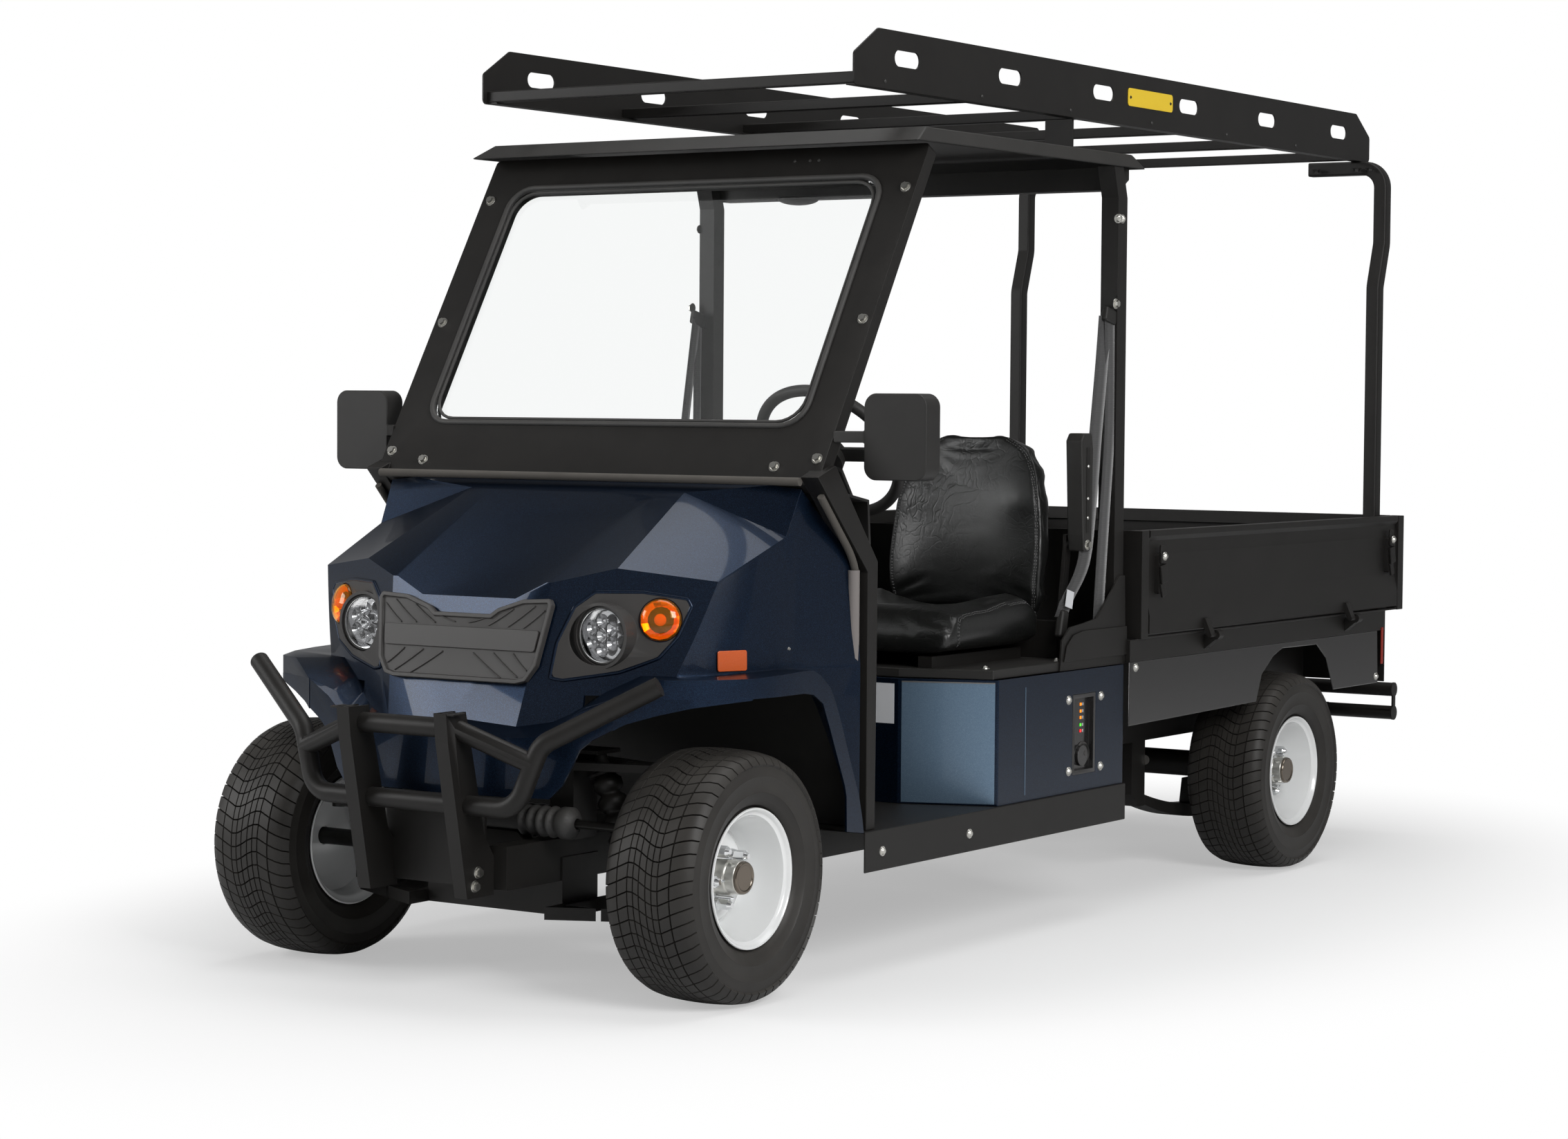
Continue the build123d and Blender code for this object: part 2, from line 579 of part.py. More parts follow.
post_x = body_half - 58
post_front = [(windshield_foot[0] - 17, windshield_foot[1] + 17 * post_slope),
              (windshield_foot[0] + 178, windshield_foot[1] - 178 * post_slope), (windshield_foot[0] + 178, floor_z)]
recess_floor = [(118, -75), (146, 318)]
recess_rim = [(190, -75), (225, 378)]
recess_depth = 28
lamp_bowl_radius = 67
with BuildPart() as cowl:
    add(upper_cowl(0))
    add(lower_cowl(0))
    hood_normal = Vector(0, -hood_slope, 1).normalized()
    hood_origin = place(*hood_point)
    with BuildSketch(Plane(origin=hood_origin - hood_normal * recess_depth, x_dir=(1, 0, 0), z_dir=hood_normal)):
        Polygon(*recess_floor, *[(-x, v) for x, v in reversed(recess_floor)], align=None)
    with BuildSketch(Plane(origin=hood_origin, x_dir=(1, 0, 0), z_dir=hood_normal)):
        Polygon(*recess_rim, *[(-x, v) for x, v in reversed(recess_rim)], align=None)
    loft(ruled=True, mode=Mode.SUBTRACT)
    with BuildPart(mode=Mode.PRIVATE) as core:
        add(upper_cowl(cowl_wall))
        add(lower_cowl(cowl_wall))
        with BuildSketch(Plane(origin=hood_origin - hood_normal * (recess_depth + cowl_wall), x_dir=(1, 0, 0),
                               z_dir=hood_normal)):
            Polygon(*[(x + cowl_wall, v) for x, v in recess_floor],
                    *[(-x - cowl_wall, v) for x, v in reversed(recess_floor)], align=None)
        with BuildSketch(Plane(origin=hood_origin, x_dir=(1, 0, 0), z_dir=hood_normal)):
            Polygon(*[(x + cowl_wall, v + 8) for x, v in recess_rim],
                    *[(-x - cowl_wall, v + 8) for x, v in reversed(recess_rim)], align=None)
        loft(ruled=True, mode=Mode.SUBTRACT)
    add(core.part, mode=Mode.SUBTRACT)
    # open below and behind
    with BuildSketch(level_plane(skirt_low - 1)):
        with Locations((0, 0)):
            Rectangle(2 * well_inner, 2 * cowl_rear)
    extrude(amount=cowl_low - skirt_low + 1, mode=Mode.SUBTRACT)
    with BuildSketch(cross_plane(cowl_rear - 20)):
        Polygon((-body_half + 40, skirt_low - 1), (body_half - 40, skirt_low - 1), (body_half - 60, 830),
                (body_half - 80, 850), (-body_half + 80, 850), (-body_half + 60, 830), align=None)
    extrude(amount=-40, mode=Mode.SUBTRACT)
    # wheel openings, and the edges along the door posts
    for outward in (1, -1):
        with BuildSketch(side_plane(outward * (post_x - panel_gap))):
            Polygon(*post_front, (700, floor_z), (700, 1300), (post_front[0][0], 1300), align=None)
        extrude(amount=outward * 200, mode=Mode.SUBTRACT)
        with BuildSketch(cross_plane(60)):
            Polygon(*[(outward * x, z) for x, z in front_arch], (outward * 640, skirt_low - 1),
                    (outward * 268, skirt_low - 1), align=None)
        extrude(amount=400, mode=Mode.SUBTRACT)
        with BuildSketch(side_plane(outward * well_inner)):
            Polygon(*side_arch, (cowl_rear + 10, 306), (cowl_rear + 10, skirt_low - 1), (-180, skirt_low - 1),
                    align=None)
        extrude(amount=outward * 360, mode=Mode.SUBTRACT)
        # headlamp bowl
        with BuildSketch(cross_plane(-200)):
            with Locations((outward * lamp_point[0], lamp_point[2])):
                Circle(lamp_bowl_radius)
        extrude(amount=-180, mode=Mode.SUBTRACT)
keep(cowl, "cowl")

# Grille panel, lamp surrounds and lamps

grille_outline = [(0, 49), (72, 49), (90, 62), (151, 82), (219, 86), (226, 74), (206, -52), (184, -84), (160, -90)]
grille_thickness = 14
grille_border = 9
grille_corner = 7
grille_plane = Plane(origin=place(0, -165, 720), x_dir=(1, 0, 0), z_dir=(0, -cos(face_tilt), sin(face_tilt)))
with BuildPart() as grille_panel:
    with BuildSketch(grille_plane):
        outline = Polygon(*grille_outline, *[(-x, v) for x, v in reversed(grille_outline[1:])], align=None)
        fillet(outline.vertices(), grille_corner)
    extrude(amount=grille_thickness)
    with BuildSketch(grille_plane.offset(grille_thickness - 5)):
        Polygon(*grille_outline, *[(-x, v) for x, v in reversed(grille_outline[1:])], align=None)
        offset(amount=-grille_border)
    extrude(amount=6, mode=Mode.SUBTRACT)
keep(grille_panel, "grille_panel")


def lamp_plane(outward):
    facing = (outward * sin(lamp_sweep) * cos(lamp_lean), -cos(lamp_sweep) * cos(lamp_lean), sin(lamp_lean))
    return Plane(origin=place(outward * lamp_point[0], lamp_point[1], lamp_point[2]),
                 x_dir=(cos(lamp_sweep), outward * sin(lamp_sweep), 0), z_dir=facing)


bezel_outline = [(-101, -85), (-89, -17), (-55, 55), (-15, 84), (81, 85), (170, 74), (178, 60), (151, 0),
                 (114, -42), (38, -70), (-74, -89)]
bezel_thickness = 3
bezel_corner = 10
turn_lamp_at = (119, 33)
turn_lamp_radius = 44
headlamp_radius = 56
bowl_wall = 7
bowl_back = -28
collar_front = -114
lens_rim = -108
with BuildPart() as lamp_bezels:
    for outward in (1, -1):
        with BuildSketch(lamp_plane(outward)):
            outline = Polygon(*[(outward * u, v) for u, v in bezel_outline], align=None)
            fillet(outline.vertices(), bezel_corner)
        extrude(amount=bezel_thickness)
        with BuildSketch(cross_plane(bowl_back)):
            with Locations((outward * lamp_point[0], lamp_point[2])):
                Circle(lamp_bowl_radius - 0.5)
        extrude(amount=bowl_back - collar_front)
        with BuildSketch(cross_plane(bowl_back - 4)):
            with Locations((outward * lamp_point[0], lamp_point[2])):
                Circle(lamp_bowl_radius - bowl_wall)
        extrude(amount=200, mode=Mode.SUBTRACT)
        with BuildSketch(lamp_plane(outward).offset(-6)):
            with Locations((outward * turn_lamp_at[0], turn_lamp_at[1])):
                Circle(turn_lamp_radius + 1)
        extrude(amount=40, mode=Mode.SUBTRACT)
keep(lamp_bezels, "lamp_bezels")

with BuildPart() as headlamps:
    for outward in (1, -1):
        with BuildSketch(cross_plane(bowl_back - 4)):
            with Locations((outward * lamp_point[0], lamp_point[2])):
                Circle(headlamp_radius)
        extrude(amount=bowl_back - 4 - lens_rim)
        with BuildSketch(cross_plane(lens_rim)):
            with Locations((outward * lamp_point[0], lamp_point[2])):
                Circle(headlamp_radius)
        extrude(amount=6, taper=60)
keep(headlamps, "headlamps")

with BuildPart() as turn_lamps:
    for outward in (1, -1):
        with BuildSketch(lamp_plane(outward).offset(0.3)):
            with Locations((outward * turn_lamp_at[0], turn_lamp_at[1])):
                Circle(turn_lamp_radius)
        extrude(amount=14)
        with BuildSketch(lamp_plane(outward).offset(14.3)):
            with Locations((outward * turn_lamp_at[0], turn_lamp_at[1])):
                Circle(turn_lamp_radius - 4)
        extrude(amount=8, taper=40)
keep(turn_lamps, "turn_lamps")

marker_point = (body_half - 101.8, 53.6, 683.5)
marker_facing = (0.923, -0.385, 0.029)
with BuildPart() as side_markers:
    for outward in (1, -1):
        facing = Vector(outward * marker_facing[0], marker_facing[1], marker_facing[2]).normalized()
        along = Vector(-outward * marker_facing[1], marker_facing[0], 0).normalized()
        centre = place(outward * marker_point[0], marker_point[1], marker_point[2]) + facing * panel_gap
        with BuildSketch(Plane(origin=centre, x_dir=along, z_dir=facing)):
            RectangleRounded(70, 42, 5)
        extrude(amount=4)
keep(side_markers, "side_markers")

# Front frame: raked windshield frame on the door posts

rake = atan2(1740 - 1055, 671 - 262)
windshield_plane = Plane(origin=place(0, *windshield_foot), x_dir=(1, 0, 0), z_dir=(0, -sin(rake), cos(rake)))
frame_half = body_half - 28
frame_depth = 34
frame_length = (1762 - windshield_foot[1]) / sin(rake)
glass_low = 143
glass_high = 762
glass_half = 501
glass_corner = 55
post_width = 44
post_back = [(462, floor_z), (466, 872), (300, 1075)]
with BuildPart() as front_frame:
    with BuildSketch(windshield_plane):
        with Locations((0, frame_length / 2)):
            RectangleRounded(2 * frame_half, frame_length, 12)
        with Locations((0, (glass_low + glass_high) / 2)):
            RectangleRounded(2 * glass_half, glass_high - glass_low, glass_corner, mode=Mode.SUBTRACT)
    extrude(amount=-frame_depth)
    for outward in (1, -1):
        with BuildSketch(side_plane(outward * post_x)):
            Polygon(*post_front, *post_back, align=None)
        extrude(amount=outward * post_width)
keep(front_frame, "front_frame")

with BuildPart() as windshield_glass:
    with BuildSketch(windshield_plane.offset(-12)):
        with Locations((0, (glass_low + glass_high) / 2)):
            RectangleRounded(2 * (glass_half - panel_gap), glass_high - glass_low - 2 * panel_gap,
                             glass_corner - panel_gap)
    extrude(amount=-5)
keep(windshield_glass, "windshield_glass")

# Cab floor, dash and firewall

rocker_low = 222
with BuildPart() as floor:
    with BuildSketch(cross_plane(floor_front)):
        Polygon((-body_half, rocker_low), (-body_half, floor_z), (body_half, floor_z), (body_half, rocker_low),
                (body_half - sheet, rocker_low), (body_half - sheet, floor_z - sheet),
                (-body_half + sheet, floor_z - sheet), (-body_half + sheet, rocker_low), align=None)
    extrude(amount=-(cab_rear - floor_front))
keep(floor, "floor")

dash_half = post_x - panel_gap
with BuildPart() as dash:
    with BuildSketch(side_plane(-dash_half)):
        Polygon((290.6, 1036), (500, 1000), (508, 905), (476, 872), (476, floor_z), (470, floor_z), (470, 875),
                (500, 908), (493, 995), (287, 1030), align=None)
    extrude(amount=2 * dash_half)
    # pad behind the steering column
    with BuildSketch(cross_plane(508)):
        Polygon((280, 905), (380, 905), (380, 998), (280, 998), align=None)
    extrude(amount=14)
keep(dash, "dash")

# Seat box, battery, deck, charge panel

box_front = 880
box_corner = (400, 880)
box_side = body_half - 8
box_side_front = 966
box_top = 590
port_front = 1308
port_rear = 1418
port_low = 347
port_top = 534
box_contour = [(-box_side, cab_rear), (-box_side, box_side_front), (-box_corner[0], box_corner[1]), box_corner,
               (box_side, box_side_front), (box_side, cab_rear)]
with BuildPart() as seat_box:
    with BuildSketch(level_plane(floor_z)):
        Polygon(*box_contour, align=None)
        offset(amount=-sheet, mode=Mode.SUBTRACT)
    extrude(amount=box_top - floor_z)
    with BuildSketch(side_plane(box_side - sheet - 1)):
        Polygon((port_front, port_low), (port_rear, port_low), (port_rear, port_top), (port_front, port_top),
                align=None)
    extrude(amount=sheet + 2, mode=Mode.SUBTRACT)
keep(seat_box, "seat_box")

with BuildPart() as battery:
    with BuildSketch(level_plane(floor_z)):
        with Locations((0, (box_side_front + cab_rear) / 2)):
            Rectangle(900, 500)
    extrude(amount=240)
keep(battery, "battery")

with BuildPart() as charge_panel:
    with BuildSketch(side_plane(box_side - 22)):
        Polygon((port_front + panel_gap, port_low + panel_gap), (port_rear - panel_gap, port_low + panel_gap),
                (port_rear - panel_gap, port_top - panel_gap), (port_front + panel_gap, port_top - panel_gap), align=None)
    extrude(amount=22)
    with BuildSketch(side_plane(box_side - 12)):
        Polygon((port_front + 10, port_low + 10), (port_rear - 10, port_low + 10), (port_rear - 10, port_top - 10),
                (port_front + 10, port_top - 10), align=None)
    extrude(amount=14, mode=Mode.SUBTRACT)
    with BuildSketch(side_plane(box_side - 13)):
        with Locations(((port_front + port_rear) / 2, port_low + 42)):
            Circle(24)
    extrude(amount=10)
keep(charge_panel, "charge_panel")

deck_thickness = 22
deck_rear = 1566
with BuildPart() as seat_deck:
    with BuildSketch(level_plane(box_top)):
        Polygon((-600, deck_rear), (-600, 960), (-395, 890), (395, 890), (600, 960), (600, deck_rear), align=None)
    extrude(amount=deck_thickness)
keep(seat_deck, "seat_deck")

# Seats

seat_x = 295
seat_half = 230
deck_top = box_top + deck_thickness
rail_height = 26
cushion_low = deck_top + rail_height
cushion_side = [(905, cushion_low), (1300, cushion_low), (1330, 700), (1330, 742), (1180, 748), (960, 752),
                (905, 722), (895, 680)]
back_side = [(1345, 700), (1386, 700), (1402, 760), (1440, 1120), (1410, 1142), (1372, 1132), (1330, 960), (1310, 790)]


def seats(profile, half, corner):
    with BuildPart() as pair:
        for outward in (1, -1):
            with BuildSketch(side_plane(outward * seat_x - half)):
                Polygon(*profile, align=None)
                fillet(vertices(), corner)
            extrude(amount=2 * half)
    return pair


seat_cushions = seats(cushion_side, seat_half, 18)
keep(seat_cushions, "seat_cushions")
seat_backs = seats(back_side, seat_half - 4, 14)
keep(seat_backs, "seat_backs")

armrest_pivot = (1406, 877)
armrest_x = body_half - 72
armrest_width = 44
with BuildPart() as seat_frames:
    for outward in (1, -1):
        for offset_x in (-150, 150):
            with BuildSketch(level_plane(deck_top)):
                with Locations((outward * seat_x + offset_x, 1120)):
                    Rectangle(36, 400)
            extrude(amount=rail_height)
        with BuildSketch(level_plane(deck_top)):
            with Locations((outward * seat_x, 1365)):
                Rectangle(2 * seat_half + 30, 26)
        extrude(amount=700 - panel_gap - deck_top)
        pivot_x = seat_x + seat_half + 15
        with BuildSketch(side_plane(outward * pivot_x)):
            with Locations(armrest_pivot):
                Circle(11)
        extrude(amount=outward * (armrest_x - panel_gap - pivot_x))
        x0 = outward * (seat_x + seat_half + 6)
        with BuildSketch(side_plane(x0)):
            Polygon((1352, deck_top), (1378, deck_top), (1418, 870), (1418, 900), (1394, 900), (1394, 876),
                    align=None)
        extrude(amount=outward * 9)
keep(seat_frames, "seat_frames")

for outward, name in ((1, "left"), (-1, "right")):
    with BuildPart() as armrest:
        with BuildSketch(side_plane(outward * armrest_x)):
            Polygon((1392, 862), (1420, 862), (1428, 880), (1432, 1100), (1424, 1137), (1388, 1137), (1374, 1120),
                    (1386, 900), align=None)
            fillet(vertices(), 5)
        extrude(amount=outward * armrest_width)
    keep(armrest, f"armrest_{name}")

# Roof posts with their cross beam, roof panel

rear_post_x = body_half - 63
rear_post_size = 45
rear_post_station = 1520
post_bend_z = 1700
beam_low = 1709
roof_low = 1762
roof_top = 1795
roof_front = 607
roof_rear = 1644
roof_half = body_half - 12
gusset_thickness = 5
with BuildPart() as roof_posts:
    for outward in (1, -1):
        with BuildSketch(side_plane(outward * rear_post_x)):
            Polygon((rear_post_station, deck_top), (rear_post_station + rear_post_size, deck_top),
                    (rear_post_station + rear_post_size, post_bend_z - 10),
                    (rear_post_station + rear_post_size - 22, roof_low), (rear_post_station - 22, roof_low),
                    (rear_post_station, post_bend_z - 10), align=None)
        extrude(amount=outward * rear_post_size)
        with BuildSketch(side_plane(outward * (rear_post_x + rear_post_size))):
            Polygon((1255, 591), (1570, 591), (1570, 690), (1566, 800), (1540, 800), (1430, 705), (1367, 697),
                    (1300, 690), (1262, 660), align=None)
        extrude(amount=outward * gusset_thickness)
    with BuildSketch(cross_plane(rear_post_station + rear_post_size - 22)):
        Polygon((-rear_post_x - 30, roof_low), (-rear_post_x - 30, 1735), (-rear_post_x - 5, beam_low),
                (rear_post_x + 5, beam_low), (rear_post_x + 30, 1735), (rear_post_x + 30, roof_low), align=None)
    extrude(amount=-56)
keep(roof_posts, "roof_posts")

with BuildPart() as roof_panel:
    with BuildSketch(level_plane(roof_low)):
        with Locations((0, (roof_front + roof_rear) / 2)):
            Rectangle(2 * roof_half, roof_rear - roof_front)
    with BuildSketch(level_plane(roof_top)):
        with Locations((0, (669 + 1608) / 2)):
            Rectangle(2 * (roof_half - 18), 1608 - 669)
    loft(ruled=True)
    offset(amount=-sheet, openings=faces().sort_by(Axis.Z)[0])
keep(roof_panel, "roof_panel")

# Roof rack and its rear posts

rack_half = 502
rack_front = 516
rack_end = bed_rear + 17
rack_low = 1877
rack_top = 2004
rack_sheet = 4
slot_count = 6
slot_first = rack_front + 214
slot_pitch = (rack_end - 204 - slot_first) / (slot_count - 1)
slot_length = 103
slot_width = 35
slot_z = 1946
rack_side = [(rack_front, rack_low), (rack_end, rack_low), (rack_end, 1945), (rack_end - 90, rack_top),
             (rack_front + 96, rack_top), (rack_front, 1945)]
rack_tube = 25
tube_count = 6
tube_pitch = (rack_end - rack_front - 66) / (tube_count - 1)
with BuildPart() as rack_sides:
    for outward in (1, -1):
        with BuildSketch(side_plane(outward * rack_half)):
            Polygon(*rack_side, align=None)
            fillet(vertices(), 12)
            with Locations(*[(slot_first + slot_pitch * i, slot_z) for i in range(slot_count)]):
                SlotOverall(slot_length, slot_width, mode=Mode.SUBTRACT)
        extrude(amount=-outward * rack_sheet)
        with BuildSketch(level_plane(rack_low)):
            with Locations((outward * (rack_half - 15), (rack_front + rack_end) / 2)):
                Rectangle(30, rack_end - rack_front - 30)
        extrude(amount=rack_sheet)
keep(rack_sides, "rack_sides")

with BuildPart() as rack_tubes:
    with BuildSketch(side_plane(-rack_half + rack_sheet)):
        for i in range(tube_count):
            with Locations((rack_front + 26 + tube_pitch * i, rack_low + rack_sheet + rack_tube / 2)):
                RectangleRounded(rack_tube, rack_tube, 3)
    extrude(amount=2 * (rack_half - rack_sheet))
keep(rack_tubes, "rack_tubes")

strut_station = 1520
with BuildPart() as rack_struts:
    for outward in (1, -1):
        with BuildSketch(cross_plane(strut_station)):
            Polygon((outward * 400, roof_top), (outward * 475, roof_top), (outward * 475, rack_low),
                    (outward * 400, rack_low), align=None)
        extrude(amount=-6)
keep(rack_struts, "rack_struts")

rack_post_x = body_half - 58
rack_post_station = bed_rear - 62
rack_post_size = 38
crank = 40
run_z = rack_low - rack_post_size / 2
with BuildPart() as rack_posts:
    for outward in (1, -1):
        with BuildLine():
            FilletPolyline(place(outward * rack_post_x, rack_post_station, bed_z),
                           place(outward * rack_post_x, rack_post_station, 1530),
                           place(outward * rack_post_x, rack_post_station + crank, 1650),
                           place(outward * rack_post_x, rack_post_station + crank, run_z),
                           place(outward * 345, rack_post_station + crank, run_z), radius=55)
        with BuildSketch(level_plane(bed_z)):
            with Locations((outward * rack_post_x, rack_post_station)):
                RectangleRounded(rack_post_size, rack_post_size, 6)
        sweep()
keep(rack_posts, "rack_posts")

# Rear body: fender panels, bed, drop sides and tailgate

fender_low = 446
fender_top = 594
arch_points = [(wheelbase + y, z) for y, z in
               [(-231, 452), (-200, 520), (-134, 563), (-80, 580), (129, 578), (188, 538), (237, 452)]]
with BuildPart() as rear_fenders:
    for outward in (1, -1):
        with BuildSketch(side_plane(outward * body_half)):
            Polygon((1569, fender_low - 4), (1569, fender_top), (bed_rear - 141, fender_top), (bed_rear - 133, 452), *reversed(arch_points),
                    align=None)
        extrude(amount=-outward * sheet)
keep(rear_fenders, "rear_fenders")

post_size = 35
floor_sheet = 5
strip_front = 1572
with BuildPart() as bed:
    with BuildSketch(level_plane(bed_z - floor_sheet)):
        Polygon((-bed_half + 6, bed_front), (bed_half - 6, bed_front), (bed_half - 6, bed_rear), (-bed_half + 6, bed_rear),
                align=None)
    extrude(amount=floor_sheet)
    for outward in (1, -1):
        with BuildSketch(side_plane(outward * body_half)):
            Polygon((strip_front, fender_top), (frame_rear, fender_top), (frame_rear, bed_z - floor_sheet),
                    (strip_front, bed_z - floor_sheet), align=None)
        extrude(amount=-outward * sheet)
        with BuildSketch(side_plane(outward * spring_x - rail_width / 2)):
            Polygon((strip_front + 60, rail_rear_top), (frame_rear, rail_rear_top), (frame_rear, bed_z - floor_sheet),
                    (strip_front + 60, bed_z - floor_sheet), align=None)
        extrude(amount=rail_width)
        for station in (bed_front, bed_rear - post_size):
            with BuildSketch(level_plane(bed_z - floor_sheet)):
                with Locations((outward * (bed_half - post_size / 2), station + post_size / 2)):
                    Rectangle(post_size, post_size)
            extrude(amount=bed_wall_top - bed_z + floor_sheet)
    for station in (strip_front, frame_rear - sheet):
        with BuildSketch(cross_plane(station)):
            Polygon((-body_half, fender_top if station == strip_front else fender_low + 6),
                    (body_half, fender_top if station == strip_front else fender_low + 6),
                    (body_half, bed_z - floor_sheet), (-body_half, bed_z - floor_sheet), align=None)
        extrude(amount=-sheet)
    with BuildSketch(cross_plane(bed_front)):
        Polygon((-bed_half + post_size, bed_z - floor_sheet), (bed_half - post_size, bed_z - floor_sheet),
                (bed_half - post_size, bed_wall_top), (-bed_half + post_size, bed_wall_top), align=None)
    extrude(amount=-sheet)
keep(bed, "bed")

wall_depth = 30
wall_low = bed_z + moving_gap
wall_sheet = 4
latch_height = 96
# depth from the outer face, height: a folded panel with a top flange and a lower bevel
wall_section = [(0, bed_wall_top), (-wall_depth, bed_wall_top), (-wall_depth, 872), (-wall_depth + wall_sheet, 872),
                (-wall_depth + wall_sheet, bed_wall_top - wall_sheet), (-12, bed_wall_top - wall_sheet), (-12, 744),
                (-4, 700), (-4, wall_low + wall_sheet), (-wall_depth, wall_low + wall_sheet), (-wall_depth, wall_low),
                (0, wall_low), (0, 700), (-8, 744), (-8, 880), (0, 891)]
hinge_out = 18
hinge_z = 640
hinge_pin_radius = 5
side_hinges = [bed_front + 355, bed_rear - 357]
rear_hinges = [300 - bed_half, bed_half - 300]
side_latches = [bed_front + 95, bed_rear - 95]
rear_latches = [110 - bed_half, bed_half - 110]
for outward, name in ((1, "left"), (-1, "right")):
    with BuildPart() as drop_side:
        start = bed_front + post_size + moving_gap
        with BuildSketch(cross_plane(start)):
            Polygon(*[(outward * (bed_half + d), z) for d, z in wall_section], align=None)
        extrude(amount=-(bed_rear - bed_front - 2 * post_size - 2 * moving_gap))
        for station in side_hinges:
            with BuildSketch(cross_plane(station - 30)):
                Polygon((outward * bed_half, wall_low), (outward * bed_half, wall_low + 24),
                        (outward * (bed_half + 5), wall_low + 24), (outward * (bed_half + hinge_out + 5), hinge_z),
                        (outward * (bed_half + hinge_out - 5), hinge_z - 4), align=None)
            extrude(amount=-24)
            with BuildSketch(cross_plane(station - 30)):
                with Locations((outward * (bed_half + hinge_out), hinge_z)):
                    Circle(hinge_pin_radius)
            extrude(amount=-60)
        for station in side_latches:
            with BuildSketch(side_plane(outward * (bed_half - 8))):
                with Locations((station, 800)):
                    RectangleRounded(34, latch_height, 6)
            extrude(amount=outward * 12)
    keep(drop_side, f"drop_side_{name}")

with BuildPart() as tailgate:
    half = bed_half - post_size - moving_gap
    with BuildSketch(side_plane(-half)):
        Polygon(*[(bed_rear + d, z) for d, z in wall_section], align=None)
    extrude(amount=2 * half)
    for x in rear_hinges:
        with BuildSketch(side_plane(x - 30)):
            Polygon((bed_rear, wall_low), (bed_rear, wall_low + 24), (bed_rear + 5, wall_low + 24),
                    (bed_rear + hinge_out + 5, hinge_z), (bed_rear + hinge_out - 5, hinge_z - 4), align=None)
        extrude(amount=24)
        with BuildSketch(side_plane(x - 30)):
            with Locations((bed_rear + hinge_out, hinge_z)):
                Circle(hinge_pin_radius)
        extrude(amount=60)
    for x in rear_latches:
        with BuildSketch(cross_plane(bed_rear - 8)):
            with Locations((x, 800)):
                RectangleRounded(34, latch_height, 6)
        extrude(amount=-12)
keep(tailgate, "tailgate")

eye_radius = 12
with BuildPart() as hinge_eyes:
    for outward in (1, -1):
        for station in side_hinges:
            with BuildSketch(cross_plane(station)):
                with Locations((outward * (bed_half + hinge_out), hinge_z)):
                    Circle(eye_radius)
                Polygon((outward * body_half, 604), (outward * (bed_half + hinge_out), hinge_z - eye_radius),
                        (outward * (bed_half + 10), hinge_z), (outward * body_half, 640), align=None)
                with Locations((outward * (bed_half + hinge_out), hinge_z)):
                    Circle(hinge_pin_radius + shaft_clearance, mode=Mode.SUBTRACT)
            extrude(amount=-26)
    for x in rear_hinges:
        with BuildSketch(side_plane(x)):
            with Locations((bed_rear + hinge_out, hinge_z)):
                Circle(eye_radius)
            Polygon((frame_rear, 596), (bed_rear + hinge_out, hinge_z - eye_radius), (bed_rear + 8, hinge_z + 4),
                    (frame_rear, 640), align=None)
            with Locations((bed_rear + hinge_out, hinge_z)):
                Circle(hinge_pin_radius + shaft_clearance, mode=Mode.SUBTRACT)
        extrude(amount=26)
keep(hinge_eyes, "hinge_eyes")

# Rear bumper, tail lamps, mirrors

bumper_low = 349
bumper_high = 414
bumper_half = body_half - 58
with BuildPart() as rear_bumper:
    with BuildSketch(side_plane(-bumper_half)):
        for z in (bumper_low, bumper_high):
            with Locations((bumper_station, z)):
                Circle(bumper_tube / 2)
    extrude(amount=2 * bumper_half)
    for outward in (1, -1):
        with BuildSketch(side_plane(outward * bumper_half)):
            for z in (bumper_low, bumper_high):
                with Locations((bumper_station, z)):
                    Circle(end_plate_radius)
            with Locations((bumper_station, (bumper_low + bumper_high) / 2)):
                Rectangle(16, bumper_high - bumper_low)
        extrude(amount=outward * 5)
        with BuildSketch(level_plane(bumper_low - 14)):
            with Locations((outward * spring_x, (frame_rear + bumper_station) / 2)):
                Rectangle(44, bumper_station - frame_rear)
        extrude(amount=34)
keep(rear_bumper, "rear_bumper")

with BuildPart() as tail_lamps:
    for outward in (1, -1):
        with BuildSketch(cross_plane(frame_rear)):
            with Locations((outward * (body_half - 73), 540)):
                Circle(46)
        extrude(amount=-14)
        with BuildSketch(side_plane(outward * body_half)):
            with Locations((bed_rear - 111, 552)):
                Rectangle(12, 100)
        extrude(amount=outward * 2)
keep(tail_lamps, "tail_lamps")

mirror_width = 151
mirror_inner = body_half + 22
mirror_outer = mirror_inner + mirror_width
mirror_low = 1045
mirror_high = 1224
mirror_station = 378
with BuildPart() as mirrors:
    for outward in (1, -1):
        with BuildSketch(cross_plane(mirror_station - 30)):
            with Locations((outward * (mirror_inner + mirror_outer) / 2, (mirror_low + mirror_high) / 2)):
                RectangleRounded(mirror_outer - mirror_inner, mirror_high - mirror_low, 28)
        extrude(amount=-56)
        with BuildSketch(level_plane(1122)):
            Polygon((outward * frame_half, 308), (outward * frame_half, 336),
                    (outward * (mirror_inner + 10), mirror_station + 4), (outward * (mirror_inner + 10), mirror_station - 22),
                    align=None)
        extrude(amount=24)
keep(mirrors, "mirrors")

# Steering column and wheel

